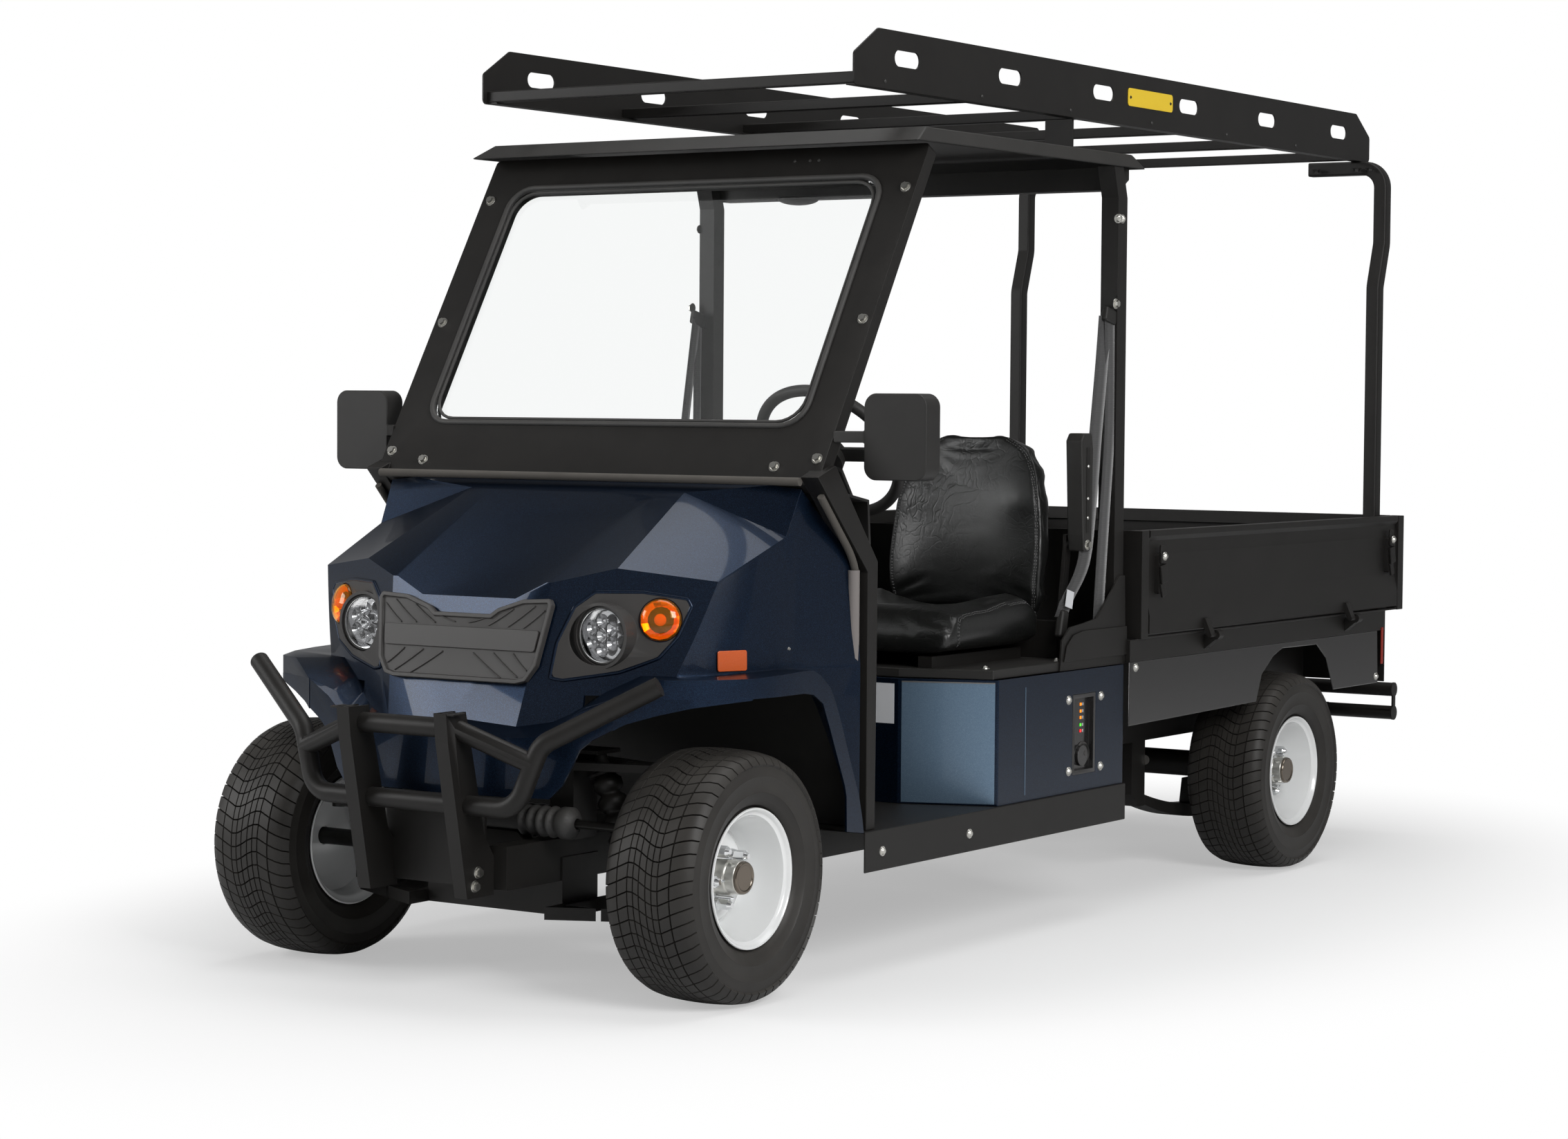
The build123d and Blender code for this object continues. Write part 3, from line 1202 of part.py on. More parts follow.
column_x = 330
wheel_centre = (column_x, 700, 1095)
column_foot = (column_x, 500, 945)
wheel_radius = 180
grip_radius = 13
column_axis = (Vector(*wheel_centre) - Vector(*column_foot)).normalized()
wheel_plane = Plane(origin=place(*wheel_centre), x_dir=(1, 0, 0), z_dir=column_axis)
with BuildPart() as steering_column:
    foot_plane = Plane(origin=place(*column_foot) + column_axis * 12, x_dir=(1, 0, 0), z_dir=column_axis)
    with BuildSketch(foot_plane):
        RectangleRounded(92, 108, 22)
    with BuildSketch(foot_plane.offset(150)):
        RectangleRounded(74, 82, 22)
    loft()
    split(bisect_by=Plane(origin=place(0, 508 + panel_gap, 0), z_dir=(0, 1, 0)), keep=Keep.TOP)
keep(steering_column, "steering_column")

with BuildPart() as steering_wheel:
    with BuildSketch(Plane(origin=wheel_plane.origin + wheel_plane.x_dir * (wheel_radius - grip_radius),
                           x_dir=wheel_plane.x_dir, z_dir=wheel_plane.y_dir)):
        Circle(grip_radius)
    revolve(axis=Axis(wheel_plane.origin, wheel_plane.z_dir))
    with BuildSketch(wheel_plane.offset(-32)):
        Circle(46)
    extrude(amount=40, taper=12)
    for angle in (0, 90, 180):
        with BuildSketch(wheel_plane.offset(-10)):
            with Locations(Rotation(0, 0, angle)):
                with Locations((100, 0)):
                    Rectangle(146, 34)
        extrude(amount=8)
    with BuildSketch(wheel_plane.offset(162 + panel_gap - 250)):
        Circle(15)
    extrude(amount=60)
keep(steering_wheel, "steering_wheel")

# Belts: two flat runs from the post guide to the deck on each side

belt_width = 46
belt_thickness = 3
with BuildPart() as seat_belts:
    for outward in (1, -1):
        with BuildSketch(side_plane(outward * (rear_post_x + rear_post_size - panel_gap))):
            Polygon((1465, 1400), (1465 + belt_width, 1400), (1465 + belt_width - 40, deck_top),
                    (1425, deck_top), align=None)
        extrude(amount=-outward * belt_thickness)
keep(seat_belts, "seat_belts")

with BuildPart() as pedals:
    for x in (230, 380):
        with BuildSketch(side_plane(x - 35)):
            Polygon((476 + panel_gap, 470), (560, 380), (568, 388), (484, 478), align=None)
        extrude(amount=70)
keep(pedals, "pedals")

for piece in pieces:
    export_step(piece, f"parts/{piece.label}.step")
print(len(pieces), "pieces")
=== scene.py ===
# Looks of the electric utility cart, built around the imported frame
import json
import math

import bmesh
import bpy
from mathutils import Matrix, Vector
from mathutils.bvhtree import BVHTree
from mathutils.kdtree import KDTree

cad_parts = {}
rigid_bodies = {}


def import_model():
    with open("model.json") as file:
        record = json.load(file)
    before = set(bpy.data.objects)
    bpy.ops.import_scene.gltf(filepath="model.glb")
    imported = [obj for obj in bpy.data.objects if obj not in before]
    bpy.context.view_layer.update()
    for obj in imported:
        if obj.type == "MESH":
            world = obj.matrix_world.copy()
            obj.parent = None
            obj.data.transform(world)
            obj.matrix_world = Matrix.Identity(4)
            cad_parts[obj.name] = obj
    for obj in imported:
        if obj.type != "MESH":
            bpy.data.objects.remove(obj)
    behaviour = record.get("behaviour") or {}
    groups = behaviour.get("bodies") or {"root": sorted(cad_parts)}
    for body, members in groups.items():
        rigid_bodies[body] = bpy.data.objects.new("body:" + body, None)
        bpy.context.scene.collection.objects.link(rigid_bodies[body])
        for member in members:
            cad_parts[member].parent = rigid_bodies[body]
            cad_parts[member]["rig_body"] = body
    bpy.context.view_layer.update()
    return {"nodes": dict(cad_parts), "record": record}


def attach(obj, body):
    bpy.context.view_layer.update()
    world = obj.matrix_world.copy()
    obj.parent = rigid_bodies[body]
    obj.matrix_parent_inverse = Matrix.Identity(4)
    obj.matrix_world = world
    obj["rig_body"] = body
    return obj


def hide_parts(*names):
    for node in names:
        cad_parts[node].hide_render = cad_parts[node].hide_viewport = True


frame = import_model()
nodes = frame["nodes"]
slotOfNode = {part["node"]: part["material_slot"] for part in frame["record"]["subparts"]}
axleStation = 1439  # mm from the front axle back to the middle of the cart
hands = ((1, "left"), (-1, "right"))


def at(x, station, z):  # a place in metres from millimetres, station counted from the front axle
    return Vector((x, station - axleStation, z)) / 1000


def lineOf(side, points):
    return [at(side * x, station, z) for x, station, z in points]


def raised(z):  # a step along Z, in millimetres
    return Matrix.Translation((0, 0, z / 1000))


def turn(degrees, axis="X"):
    return Matrix.Rotation(math.radians(degrees), 4, axis)


def standOf(across, up, normal, place):
    stand = Matrix((across, up, normal)).transposed().to_4x4()
    stand.translation = place
    return stand


def newObject(name, data):
    made = bpy.data.objects.new(name, data)
    bpy.context.scene.collection.objects.link(made)
    return made


def meshFrom(name, bm):
    data = bpy.data.meshes.new(name)
    bm.to_mesh(data)
    bm.free()
    return data


def bmFrom(data):
    bm = bmesh.new()
    bm.from_mesh(data)
    return bm


def setSockets(tree, node, values):  # each socket takes a value, or a link from another node's output
    for label, value in values.items():
        if isinstance(value, bpy.types.NodeSocket):
            tree.links.new(value, node.inputs[label])
        else:
            node.inputs[label].default_value = value


def newNode(tree, kind, values=None, **settings):
    node = tree.nodes.new("ShaderNode" + kind)
    for setting, value in settings.items():
        setattr(node, setting, value)
    setSockets(tree, node, values or {})
    return node


def mathInto(tree, operation, a, b, clamp=False):
    return newNode(tree, "Math", {0: a, 1: b}, operation=operation, use_clamp=clamp).outputs[0]


def objectPlaces(tree):
    return newNode(tree, "TexCoord").outputs["Object"]


def seenDirectly(tree):  # 1 for rays from the camera and through glass
    path = newNode(tree, "LightPath").outputs
    return mathInto(tree, "MAXIMUM", path["Is Camera Ray"], path["Is Transmission Ray"])


def blankLook(name):
    look = bpy.data.materials.new(name)
    look.use_nodes = True
    return look, look.node_tree, look.node_tree.nodes["Principled BSDF"]


# Camera, floor and light
cameraView = {"x": 4364, "station": -5530, "z": 1206, "yaw": 33.69, "pitch": 2.85, "roll": 0.42,
              "focalPixels": 4883.1, "pictureWidth": 2268}
cameraData = bpy.data.cameras.new("camera")
cameraData.sensor_width = 36
cameraData.lens = cameraView["focalPixels"] * 36 / cameraView["pictureWidth"]
camera = newObject("camera", cameraData)
camera.matrix_world = (Matrix.Translation(at(cameraView["x"], cameraView["station"], cameraView["z"]))
                       @ turn(cameraView["yaw"], "Z") @ turn(90 - cameraView["pitch"])
                       @ turn(cameraView["roll"], "Z"))
bpy.context.scene.camera = camera
bpy.context.scene.view_settings.view_transform = "Standard"

studio = {"wallLight": 0.34, "ceilingLight": 0.12, "keyPower": 230, "fillPower": 120, "topPower": 130,
          "floorShade": 0.93, "fadeStart": 1.7, "fadeEnd": 3.1, "shadowLift": 0.42}


def lampPanel(name, place, aim, size, power):
    light = bpy.data.lights.new(name, "AREA")
    light.shape = "RECTANGLE"
    light.size, light.size_y = size
    light.energy = power
    lamp = newObject(name, light)
    lamp.location = place
    lamp.rotation_euler = (Vector(aim) - Vector(place)).to_track_quat("-Z", "Y").to_euler()


lampPanel("keyPanel", (5.2, -3.2, 3.4), (0, 0, 0.8), (2.6, 2.2), studio["keyPower"])
lampPanel("fillPanel", (-4.2, -4.6, 2.6), (0, -0.5, 0.8), (2.5, 2.5), studio["fillPower"])
lampPanel("topPanel", (0.5, 0.2, 5.2), (0, 0, 0), (3.5, 4.5), studio["topPower"])

world = bpy.data.worlds.new("studioWorld")
bpy.context.scene.world = world
world.use_nodes = True
worldTree = world.node_tree
direction = newNode(worldTree, "SeparateXYZ", {0: newNode(worldTree, "TexCoord").outputs["Generated"]})
# a pale room with a dim ceiling
ceiling = newNode(worldTree, "MapRange", {"From Min": 0.05, "From Max": 0.7, "To Min": studio["wallLight"],
                                          "To Max": studio["ceilingLight"], "Value": direction.outputs["Z"]},
                  interpolation_type="SMOOTHSTEP")
strength = newNode(worldTree, "MapRange", {"To Min": ceiling.outputs["Result"], "To Max": 1,
                                           "Value": seenDirectly(worldTree)})
setSockets(worldTree, worldTree.nodes["Background"],
           {"Strength": strength.outputs["Result"], "Color": (1, 1, 1, 1)})

floorMesh = bmesh.new()
bmesh.ops.create_grid(floorMesh, x_segments=1, y_segments=1, size=40)
studioFloor = newObject("studioFloor", meshFrom("floor", floorMesh))
floorLook, floorTree, floorShader = blankLook("floorLook")
setSockets(floorTree, floorShader, {"Base Color": (studio["floorShade"],) * 3 + (1,), "Roughness": 0.9,
                                    "Specular IOR Level": 0.1})
# the far floor runs into the white backdrop
squeeze = newNode(floorTree, "Mapping", {"Scale": (1.7, 1, 1), "Vector": objectPlaces(floorTree)})
reach = newNode(floorTree, "VectorMath", {0: squeeze.outputs["Vector"]}, operation="LENGTH")
fade = newNode(floorTree, "MapRange", {"From Min": studio["fadeStart"], "From Max": studio["fadeEnd"],
                                       "To Min": studio["shadowLift"], "Value": reach.outputs["Value"]},
               interpolation_type="SMOOTHSTEP")
toCamera = mathInto(floorTree, "MULTIPLY", seenDirectly(floorTree), fade.outputs["Result"])
floorMix = newNode(floorTree, "MixShader", {0: toCamera, 1: floorShader.outputs[0],
                                            2: newNode(floorTree, "Emission").outputs[0]})
setSockets(floorTree, floorTree.nodes["Material Output"], {"Surface": floorMix.outputs[0]})
studioFloor.data.materials.append(floorLook)
print("camera, floor and light are set")

# Shader groups that several finishes share
def noiseInto(tree, coordinates, scale, detail=4, roughness=0.5):
    return newNode(tree, "TexNoise", {"Detail": detail, "Roughness": roughness, "Vector": coordinates,
                                      "Scale": scale}).outputs["Fac"]


def mixColour(tree, share, a, b):
    return newNode(tree, "Mix", {"Factor": share, "A": a, "B": b}, data_type="RGBA").outputs["Result"]


def bumpInto(tree, shader, height, strengthOfBump, distance):
    bumpNode = newNode(tree, "Bump", {"Strength": strengthOfBump, "Distance": distance, "Height": height})
    tree.links.new(bumpNode.outputs["Normal"], shader.inputs["Normal"])


def shaderGroup(name, inputs, outputs):
    group = bpy.data.node_groups.new(name, "ShaderNodeTree")
    for label, kind, value in inputs:
        socket = group.interface.new_socket(label, in_out="INPUT", socket_type="NodeSocket" + kind)
        socket.default_value = value
    for label, kind in outputs:
        group.interface.new_socket(label, in_out="OUTPUT", socket_type="NodeSocket" + kind)
    return group, group.nodes.new("NodeGroupInput").outputs, group.nodes.new("NodeGroupOutput")


def makeCoatGrain():  # the orange skin of powder coat and moulded plastic, as a height
    group, given, result = shaderGroup("coatGrain", [("Scale", "Float", 900), ("Coarse share", "Float", 0.2)],
                                       [("Height", "Float")])
    coordinates = objectPlaces(group)
    skin = newNode(group, "Mix", {"Factor": given["Coarse share"],
                                  "A": noiseInto(group, coordinates, given["Scale"], 2),
                                  "B": noiseInto(group, coordinates, 45, 3)})
    setSockets(group, result, {"Height": skin.outputs["Result"]})
    return group


def makeDust():  # dust that settles on faces that look up, and fine smears elsewhere
    group, given, result = shaderGroup("dust", [("Colour", "Color", (0, 0, 0, 1)), ("Amount", "Float", 0.1),
                                                ("Dust", "Color", (0.3, 0.28, 0.25, 1))],
                                       [("Colour", "Color")])
    upward = newNode(group, "SeparateXYZ", {0: newNode(group, "NewGeometry").outputs["Normal"]})
    facing = newNode(group, "Math", {0: upward.outputs["Z"], 1: 0.6, 2: 0.4}, operation="MULTIPLY_ADD")
    patches = mathInto(group, "MULTIPLY", noiseInto(group, objectPlaces(group), 9, 6, 0.65),
                       mathInto(group, "MAXIMUM", facing.outputs[0], 0.12))
    mask = mathInto(group, "MULTIPLY", patches, given["Amount"], clamp=True)
    setSockets(group, result, {"Colour": mixColour(group, mask, given["Colour"], given["Dust"])})
    return group


coatGrain = makeCoatGrain()
dust = makeDust()


# Finishes
def newFinish(name, colour, roughness, metallic=0.0, dustAmount=0.12, grain=None, bump=0.1, **sockets):
    look, tree, shader = blankLook(name)
    dusty = newNode(tree, "Group", {"Colour": (*colour, 1), "Amount": dustAmount}, node_tree=dust)
    values = {label.replace("_", " "): value for label, value in sockets.items()}
    setSockets(tree, shader, {"Base Color": dusty.outputs["Colour"], "Roughness": roughness,
                              "Metallic": metallic, **values})
    if grain:
        skin = newNode(tree, "Group", {"Scale": grain}, node_tree=coatGrain)
        bumpInto(tree, shader, skin.outputs["Height"], bump, 0.0006)
    return look, tree, shader, dusty


# deep and flake make the navy paint; the second pair is a lighter copy of the navy that paints in the key
# light's reflection on the seat box corners
paint = {"deep": (0.0022, 0.0072, 0.021), "flake": (0.013, 0.038, 0.085), "flakeScale": 1500,
         "paintedReflection": (0.16, 0.25, 0.36), "paintedReflectionFlake": (0.26, 0.38, 0.5)}


def metallicPaint(name, deep, flake):
    look, tree, shader, dusty = newFinish(name, deep, 0.36, 0.82, 0.02, Coat_Weight=0.3, Coat_Roughness=0.03)
    cells = newNode(tree, "TexVoronoi", {"Scale": paint["flakeScale"], "Vector": objectPlaces(tree)})
    shade = newNode(tree, "SeparateColor", {0: cells.outputs["Color"]})
    glint = mathInto(tree, "POWER", shade.outputs["Red"], 3)
    tree.links.new(mixColour(tree, glint, (*deep, 1), (*flake, 1)), dusty.inputs["Colour"])
    return look


navyPaint = metallicPaint("navyPaint", paint["deep"], paint["flake"])
# a lighter copy of the navy paint: painted reflection of the key light, for the seat box corner panels and
# seams
paintedReflectionPaint = metallicPaint("paintedReflectionPaint", paint["paintedReflection"], paint["paintedReflectionFlake"])
glossBlack = newFinish("glossBlack", (0.009, 0.0085, 0.009), 0.25, 0, 0.04, Coat_Weight=0.5)[0]
powderCoat = newFinish("powderCoat", (0.0062, 0.0056, 0.0052), 0.46, 0, 0.06, 1400, 0.35,
                       Specular_IOR_Level=0.3)[0]
grainedPlastic = newFinish("grainedPlastic", (0.013, 0.0125, 0.012), 0.5, 0, 0.08, 2200, 0.4,
                           Specular_IOR_Level=0.35)[0]
lampPlastic = newFinish("lampPlastic", (0.036, 0.034, 0.033), 0.48, 0, 0.06, 2600, 0.25)[0]
tyreRubber = newFinish("tyreRubber", (0.011, 0.0098, 0.0088), 0.5, 0, 0.2, 500, 0.15,
                       Specular_IOR_Level=0.35)[0]
bootRubber = newFinish("bootRubber", (0.022, 0.022, 0.022), 0.6, 0, 0.2, 900, 0.2)[0]
rimPaint = newFinish("rimPaint", (0.78, 0.79, 0.79), 0.25, 0, 0.06, 300, 0.03, Coat_Weight=0.5)[0]
zincPlate = newFinish("zincPlate", (0.62, 0.61, 0.57), 0.3, 1, 0.08, 1200, 0.08)[0]
chromePlate = newFinish("chromePlate", (0.82, 0.83, 0.84), 0.09, 1, 0.02)[0]
bronzeCap = newFinish("bronzeCap", (0.2, 0.17, 0.14), 0.2, 1, 0.02)[0]
# a bright metal grey for the top edge of the seat box corner panels: a painted highlight, not bare steel
edgeHighlightSteel = newFinish("edgeHighlightSteel", (0.3, 0.29, 0.28), 0.4, 1, 0.15, 500, 0.1)[0]
batteryCase = newFinish("batteryCase", (0.06, 0.06, 0.06), 0.6, 0, 0.1, 1500, 0.2)[0]
foamGrey = newFinish("foamGrey", (0.17, 0.155, 0.15), 0.85, 0, 0.15, 700, 0.6)[0]
warmFoam = newFinish("warmFoam", (0.055, 0.05, 0.044), 0.9, 0, 0.3, 500, 0.9)[0]
bareLabel = newFinish("bareLabel", (0.62, 0.63, 0.65), 0.35, 0, 0.03)[0]
yellowPlate = newFinish("yellowPlate", (0.8, 0.55, 0.02), 0.4, 0, 0.04, 900, 0.05)[0]


def leatherFinish():  # black vinyl with short random creases and a soft pebble between them
    look, tree, shader, _ = newFinish("leather", (0.0062, 0.0066, 0.0064), 0.33, 0, 0.02)
    coordinates = objectPlaces(tree)
    bend = newNode(tree, "TexNoise", {"Scale": 7, "Detail": 3, "Vector": coordinates})
    shifted = newNode(tree, "Mix", {"Factor": 0.3, "A": coordinates, "B": bend.outputs["Color"]},
                      data_type="VECTOR")
    creases = newNode(tree, "TexVoronoi", {"Scale": 30, "Vector": shifted.outputs["Result"]},
                      feature="DISTANCE_TO_EDGE")
    edge = mathInto(tree, "MINIMUM", mathInto(tree, "MULTIPLY", creases.outputs["Distance"], 9), 1)
    spread = mathInto(tree, "SUBTRACT", noiseInto(tree, coordinates, 6, 2), 0.38, True)
    deep = mathInto(tree, "MULTIPLY", edge, mathInto(tree, "MULTIPLY", spread, 3.2, True))
    pebble = mathInto(tree, "MULTIPLY", noiseInto(tree, coordinates, 420, 3), 0.35)
    bumpInto(tree, shader, mathInto(tree, "ADD", deep, pebble), 0.36, 0.001)
    return look


def webbingFinish():  # belt webbing with ribs across its weave
    look, tree, shader, _ = newFinish("webbing", (0.03, 0.03, 0.031), 0.7, 0, 0.05, Sheen_Weight=0.4)
    ribs = newNode(tree, "TexWave", {"Scale": 120, "Distortion": 0.4, "Vector": objectPlaces(tree)},
                   bands_direction="Z")
    bumpInto(tree, shader, ribs.outputs["Fac"], 0.6, 0.0008)
    return look


leather = leatherFinish()
webbing = webbingFinish()


def clearFinish(name, colour, roughness=0.0, transmission=1.0, ior=1.45, glow=0.0):
    look, tree, shader = blankLook(name)
    setSockets(tree, shader, {"Base Color": (*colour, 1), "Roughness": roughness,
                              "Transmission Weight": transmission, "IOR": ior})
    if glow:
        setSockets(tree, shader, {"Emission Color": (*colour, 1), "Emission Strength": glow})
    return look


windowGlass = clearFinish("windowGlass", (0.965, 0.98, 0.975))
lampGlass = clearFinish("lampGlass", (0.97, 0.98, 0.98))
amberGlass = clearFinish("amberGlass", (0.95, 0.42, 0.03), 0.03, 0.92)
redGlass = clearFinish("redGlass", (0.42, 0.035, 0.02), 0.15, 0.35)


def reflectorFinish(name, colour):  # small prisms under a smooth face
    look, tree, shader, _ = newFinish(name, colour, 0.25, 0, 0.03, Coat_Weight=1.0, Coat_Roughness=0.05)
    cells = newNode(tree, "TexVoronoi", {"Scale": 500, "Vector": objectPlaces(tree)})
    bumpInto(tree, shader, cells.outputs["Distance"], 0.5, 0.0006)
    return look


orangeReflector = reflectorFinish("orangeReflector", (0.62, 0.1, 0.012))
print("finishes are mixed")

finishOfSlot = {"tyre": tyreRubber, "rim_white": rimPaint, "navy": navyPaint, "black_steel": powderCoat,
                "black_plastic": grainedPlastic, "bellows_rubber": bootRubber, "lamp_clear": lampGlass,
                "lamp_amber": amberGlass, "lamp_red": redGlass, "marker_orange": orangeReflector,
                "glass": windowGlass, "seat_vinyl": leather, "webbing": webbing, "battery_case": batteryCase}
finishOfNode = {"lamp_bezels": lampPlastic, "grille_panel": lampPlastic, "rear_fenders": glossBlack,
                "charge_panel": glossBlack, "steering_column": lampPlastic}


def finishFor(node):
    return finishOfNode.get(node) or finishOfSlot[slotOfNode[node]]


# Ways of making pieces
def placed(name, data, look, body):
    piece = newObject(name, data)
    data.materials.append(look)
    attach(piece, body)
    return piece


def meshPiece(name, bm, look, smoothBelow=38, outward=True, body="chassis"):
    bmesh.ops.remove_doubles(bm, verts=bm.verts, dist=1e-6)
    if outward:
        bmesh.ops.recalc_face_normals(bm, faces=bm.faces)
    data = meshFrom(name, bm)
    data.shade_smooth()
    data.set_sharp_from_angle(angle=math.radians(smoothBelow))
    return placed(name, data, look, body)


def roundEdges(piece, width, segments=2, angle=35):
    bevel = piece.modifiers.new("roundEdges", "BEVEL")
    bevel.width = width / 1000
    bevel.segments = segments
    bevel.limit_method = "ANGLE"
    bevel.angle_limit = math.radians(angle)
    bevel.harden_normals = True
    return piece


def dressNode(node, edge=1.5, look=None, smoothBelow=30):  # a merged, edge-rounded copy stands for the node
    bm = bmFrom(nodes[node].data)
    bmesh.ops.remove_doubles(bm, verts=bm.verts, dist=2e-6)
    bmesh.ops.dissolve_limit(bm, angle_limit=math.radians(0.6), verts=bm.verts, edges=bm.edges)
    piece = meshPiece(node + "Dressed", bm, look or finishFor(node), smoothBelow, False,
                      nodes[node]["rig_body"])
    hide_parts(node)
    return roundEdges(piece, edge) if edge else piece


def cone(bm, low, high, depth, place, sides=24, caps=True):  # radii and depth in millimetres, along Z
    bmesh.ops.create_cone(bm, cap_ends=caps, segments=sides, radius1=low / 1000, radius2=high / 1000,
                          depth=depth / 1000, matrix=place)


for name in nodes:
    nodes[name].data.materials.clear()
    nodes[name].data.materials.append(finishFor(name))

softEdged = {"bull_bar": 0, "front_frame": 2, "floor": 2, "dash": 3, "seat_box": 3, "seat_deck": 3,
             "roof_panel": 3, "roof_posts": 2, "rack_sides": 2, "rack_tubes": 1.5, "rack_posts": 2,
             "rack_struts": 1, "bed": 1.5, "drop_side_left": 1.5, "drop_side_right": 1.5, "tailgate": 1.5,
             "rear_fenders": 2, "rear_bumper": 0, "grille_panel": 2.5, "lamp_bezels": 1, "cowl": 3,
             "mirrors": 3, "frame": 2, "front_suspension": 0, "steering_wheel": 0, "steering_column": 2,
             "rack_housing": 0, "rear_axle": 0, "leaf_springs": 1, "knuckle_left": 1, "knuckle_right": 1,
             "tie_rods": 0, "hinge_eyes": 0.5, "charge_panel": 1, "pedals": 1.5, "seat_frames": 1,
             "side_markers": 1.5, "battery": 3}
for node, edge in softEdged.items():
    dressNode(node, edge)
print("the frame's nodes are dressed")

# Wheels: tread blocks, sidewall, rim, hub and nuts
wheelPlaces = {"front_left": (520, 0), "front_right": (-520, 0), "rear_left": (530, 2490),
               "rear_right": (-530, 2490)}
wheelHeight = 256
frontTurn, rearTurn = 4, 17  # degrees that the wheels stand turned about their axles
tyreShape = {"pitches": 56, "groove": 1.5, "blockHeight": 5.6, "wave": 0.42, "lag": 0.55, "shoulder": 62,
             "treadHalf": 101, "treadFrom": 230.5, "movedFrom": 200, "ribEdges": [8, 22, 36, 62],
             "treadLine": [(8, 250.2), (22, 249.9), (36, 249.3), (62, 247.4), (80, 244), (92, 238.5),
                           (100.5, 225)],
             "sidewall": [(101.6, 219), (102.4, 207), (103, 205.5), (102.4, 204), (101.6, 190), (99.4, 176),
                          (100.2, 173), (97.6, 170), (93, 158), (87, 149), (80, 144), (77, 142.6), (77, 130)]}


def waveOf(x):  # how far a cross groove runs ahead at this place across the tread, in pitches
    shoulder, treadHalf = tyreShape["shoulder"], tyreShape["treadHalf"]
    if abs(x) < shoulder:
        return tyreShape["wave"] * math.sin(math.pi * x / shoulder)
    return math.copysign(tyreShape["lag"] * (min(abs(x), treadHalf) - shoulder) / (treadHalf - shoulder), -x)


def onePitch():
    bm = bmesh.new()
    half = tyreShape["treadLine"] + tyreShape["sidewall"]
    line = [(-x, r) for x, r in reversed(half)] + half
    corners = [bm.verts.new((x / 1000, 0, r / 1000)) for x, r in line]
    edges = [bm.edges.new(pair) for pair in zip(corners, corners[1:])]
    pitch = 2 * math.pi / tyreShape["pitches"]
    bmesh.ops.spin(bm, geom=corners + edges, cent=(0, 0, 0), axis=(1, 0, 0), angle=pitch, steps=2)
    for corner in bm.verts:
        if corner.co.yz.length > tyreShape["movedFrom"] / 1000:
            corner.co = Matrix.Rotation(pitch * waveOf(corner.co.x * 1000), 4, "X") @ corner.co
    bmesh.ops.recalc_face_normals(bm, faces=bm.faces)
    if sum(face.normal.dot(face.calc_center_median() * Vector((0, 1, 1))) for face in bm.faces) < 0:
        bmesh.ops.reverse_faces(bm, faces=bm.faces)
    blocks = {}
    for face in bm.faces:
        middle = face.calc_center_median()
        if middle.yz.length > tyreShape["treadFrom"] / 1000:
            rib = sum(abs(middle.x) * 1000 > edge for edge in tyreShape["ribEdges"])
            blocks.setdefault((rib, rib and middle.x > 0), []).append(face)
    for faces in blocks.values():
        bmesh.ops.inset_region(bm, faces=faces, use_boundary=True, use_even_offset=True,
                               thickness=tyreShape["groove"] / 1000, depth=tyreShape["blockHeight"] / 1000)
    return bm


def wholeTyre():
    bm = onePitch()
    steps = tyreShape["pitches"]
    bmesh.ops.spin(bm, geom=bm.verts[:] + bm.edges[:] + bm.faces[:], cent=(0, 0, 0), axis=(1, 0, 0),
                   angle=2 * math.pi * (steps - 1) / steps, steps=steps - 1, use_duplicate=True)
    bmesh.ops.remove_doubles(bm, verts=bm.verts, dist=2e-5)
    bmesh.ops.bridge_loops(bm, edges=[edge for edge in bm.edges if edge.is_boundary])
    bmesh.ops.recalc_face_normals(bm, faces=bm.faces)
    return meshFrom("tyreMould", bm)


def spun(points, axis, steps, closed):
    bm = bmesh.new()
    corners = [bm.verts.new(point) for point in points]
    edges = [bm.edges.new(pair) for pair in zip(corners, corners[1:])]
    if closed:
        edges.append(bm.edges.new((corners[-1], corners[0])))
    bmesh.ops.spin(bm, geom=corners + edges, cent=(0, 0, 0), axis=axis, angle=2 * math.pi, steps=steps,
                   use_merge=True)
    bmesh.ops.remove_doubles(bm, verts=bm.verts, dist=1e-6)
    return bm


def turned(profile, steps=64, closed=True):  # a profile of (offset along X, radius) turned round the X axis
    return spun([(x / 1000, 0, r / 1000) for x, r in profile], (1, 0, 0), steps, closed)


rimShape = [(86, 142), (88.5, 141), (89, 138.5), (86.5, 135.5), (82, 134), (79, 131), (77, 126.5), (62, 124),
            (44, 121.5), (22, 118), (4, 115), (-12, 113.5), (-19, 110), (-18, 104), (-10, 97), (0, 90),
            (5, 82), (6.5, 72), (7, 40), (7, 20),  # the front face ends here, then the back
            (0, 20), (0, 78), (-8, 90), (-22, 104), (-30, 117), (-74, 123), (-78, 128), (-80, 134),
            (-88, 139), (-86, 142), (-79, 138), (-77, 129.5), (-20, 121), (20, 123), (60, 127.5), (76, 130),
            (78.5, 137)]
hubShape = {"sleeve": [(6, 0), (6, 37.6), (36, 37.6), (39, 36), (41, 34.2), (62, 34.2), (63.5, 33),
                       (63.5, 0)],
            "cap": [(58, 0), (58, 33.4), (67, 33.4), (70, 31.4), (70.6, 28), (70, 25.6), (69, 24.8), (69, 0)]}
wheelFasteners = {"wheelNuts": {"circle": 57, "size": 11.8, "bodyEnd": 41, "tip": 48, "sides": 6},
                  "hubScrews": {"circle": 42, "size": 3.4, "bodyEnd": 44, "tip": 50, "sides": 12}}
valveShape = [(5, 22, 0), (3.2, 12, 16), (4.2, 14, 28)]  # radius, depth, place along the stem


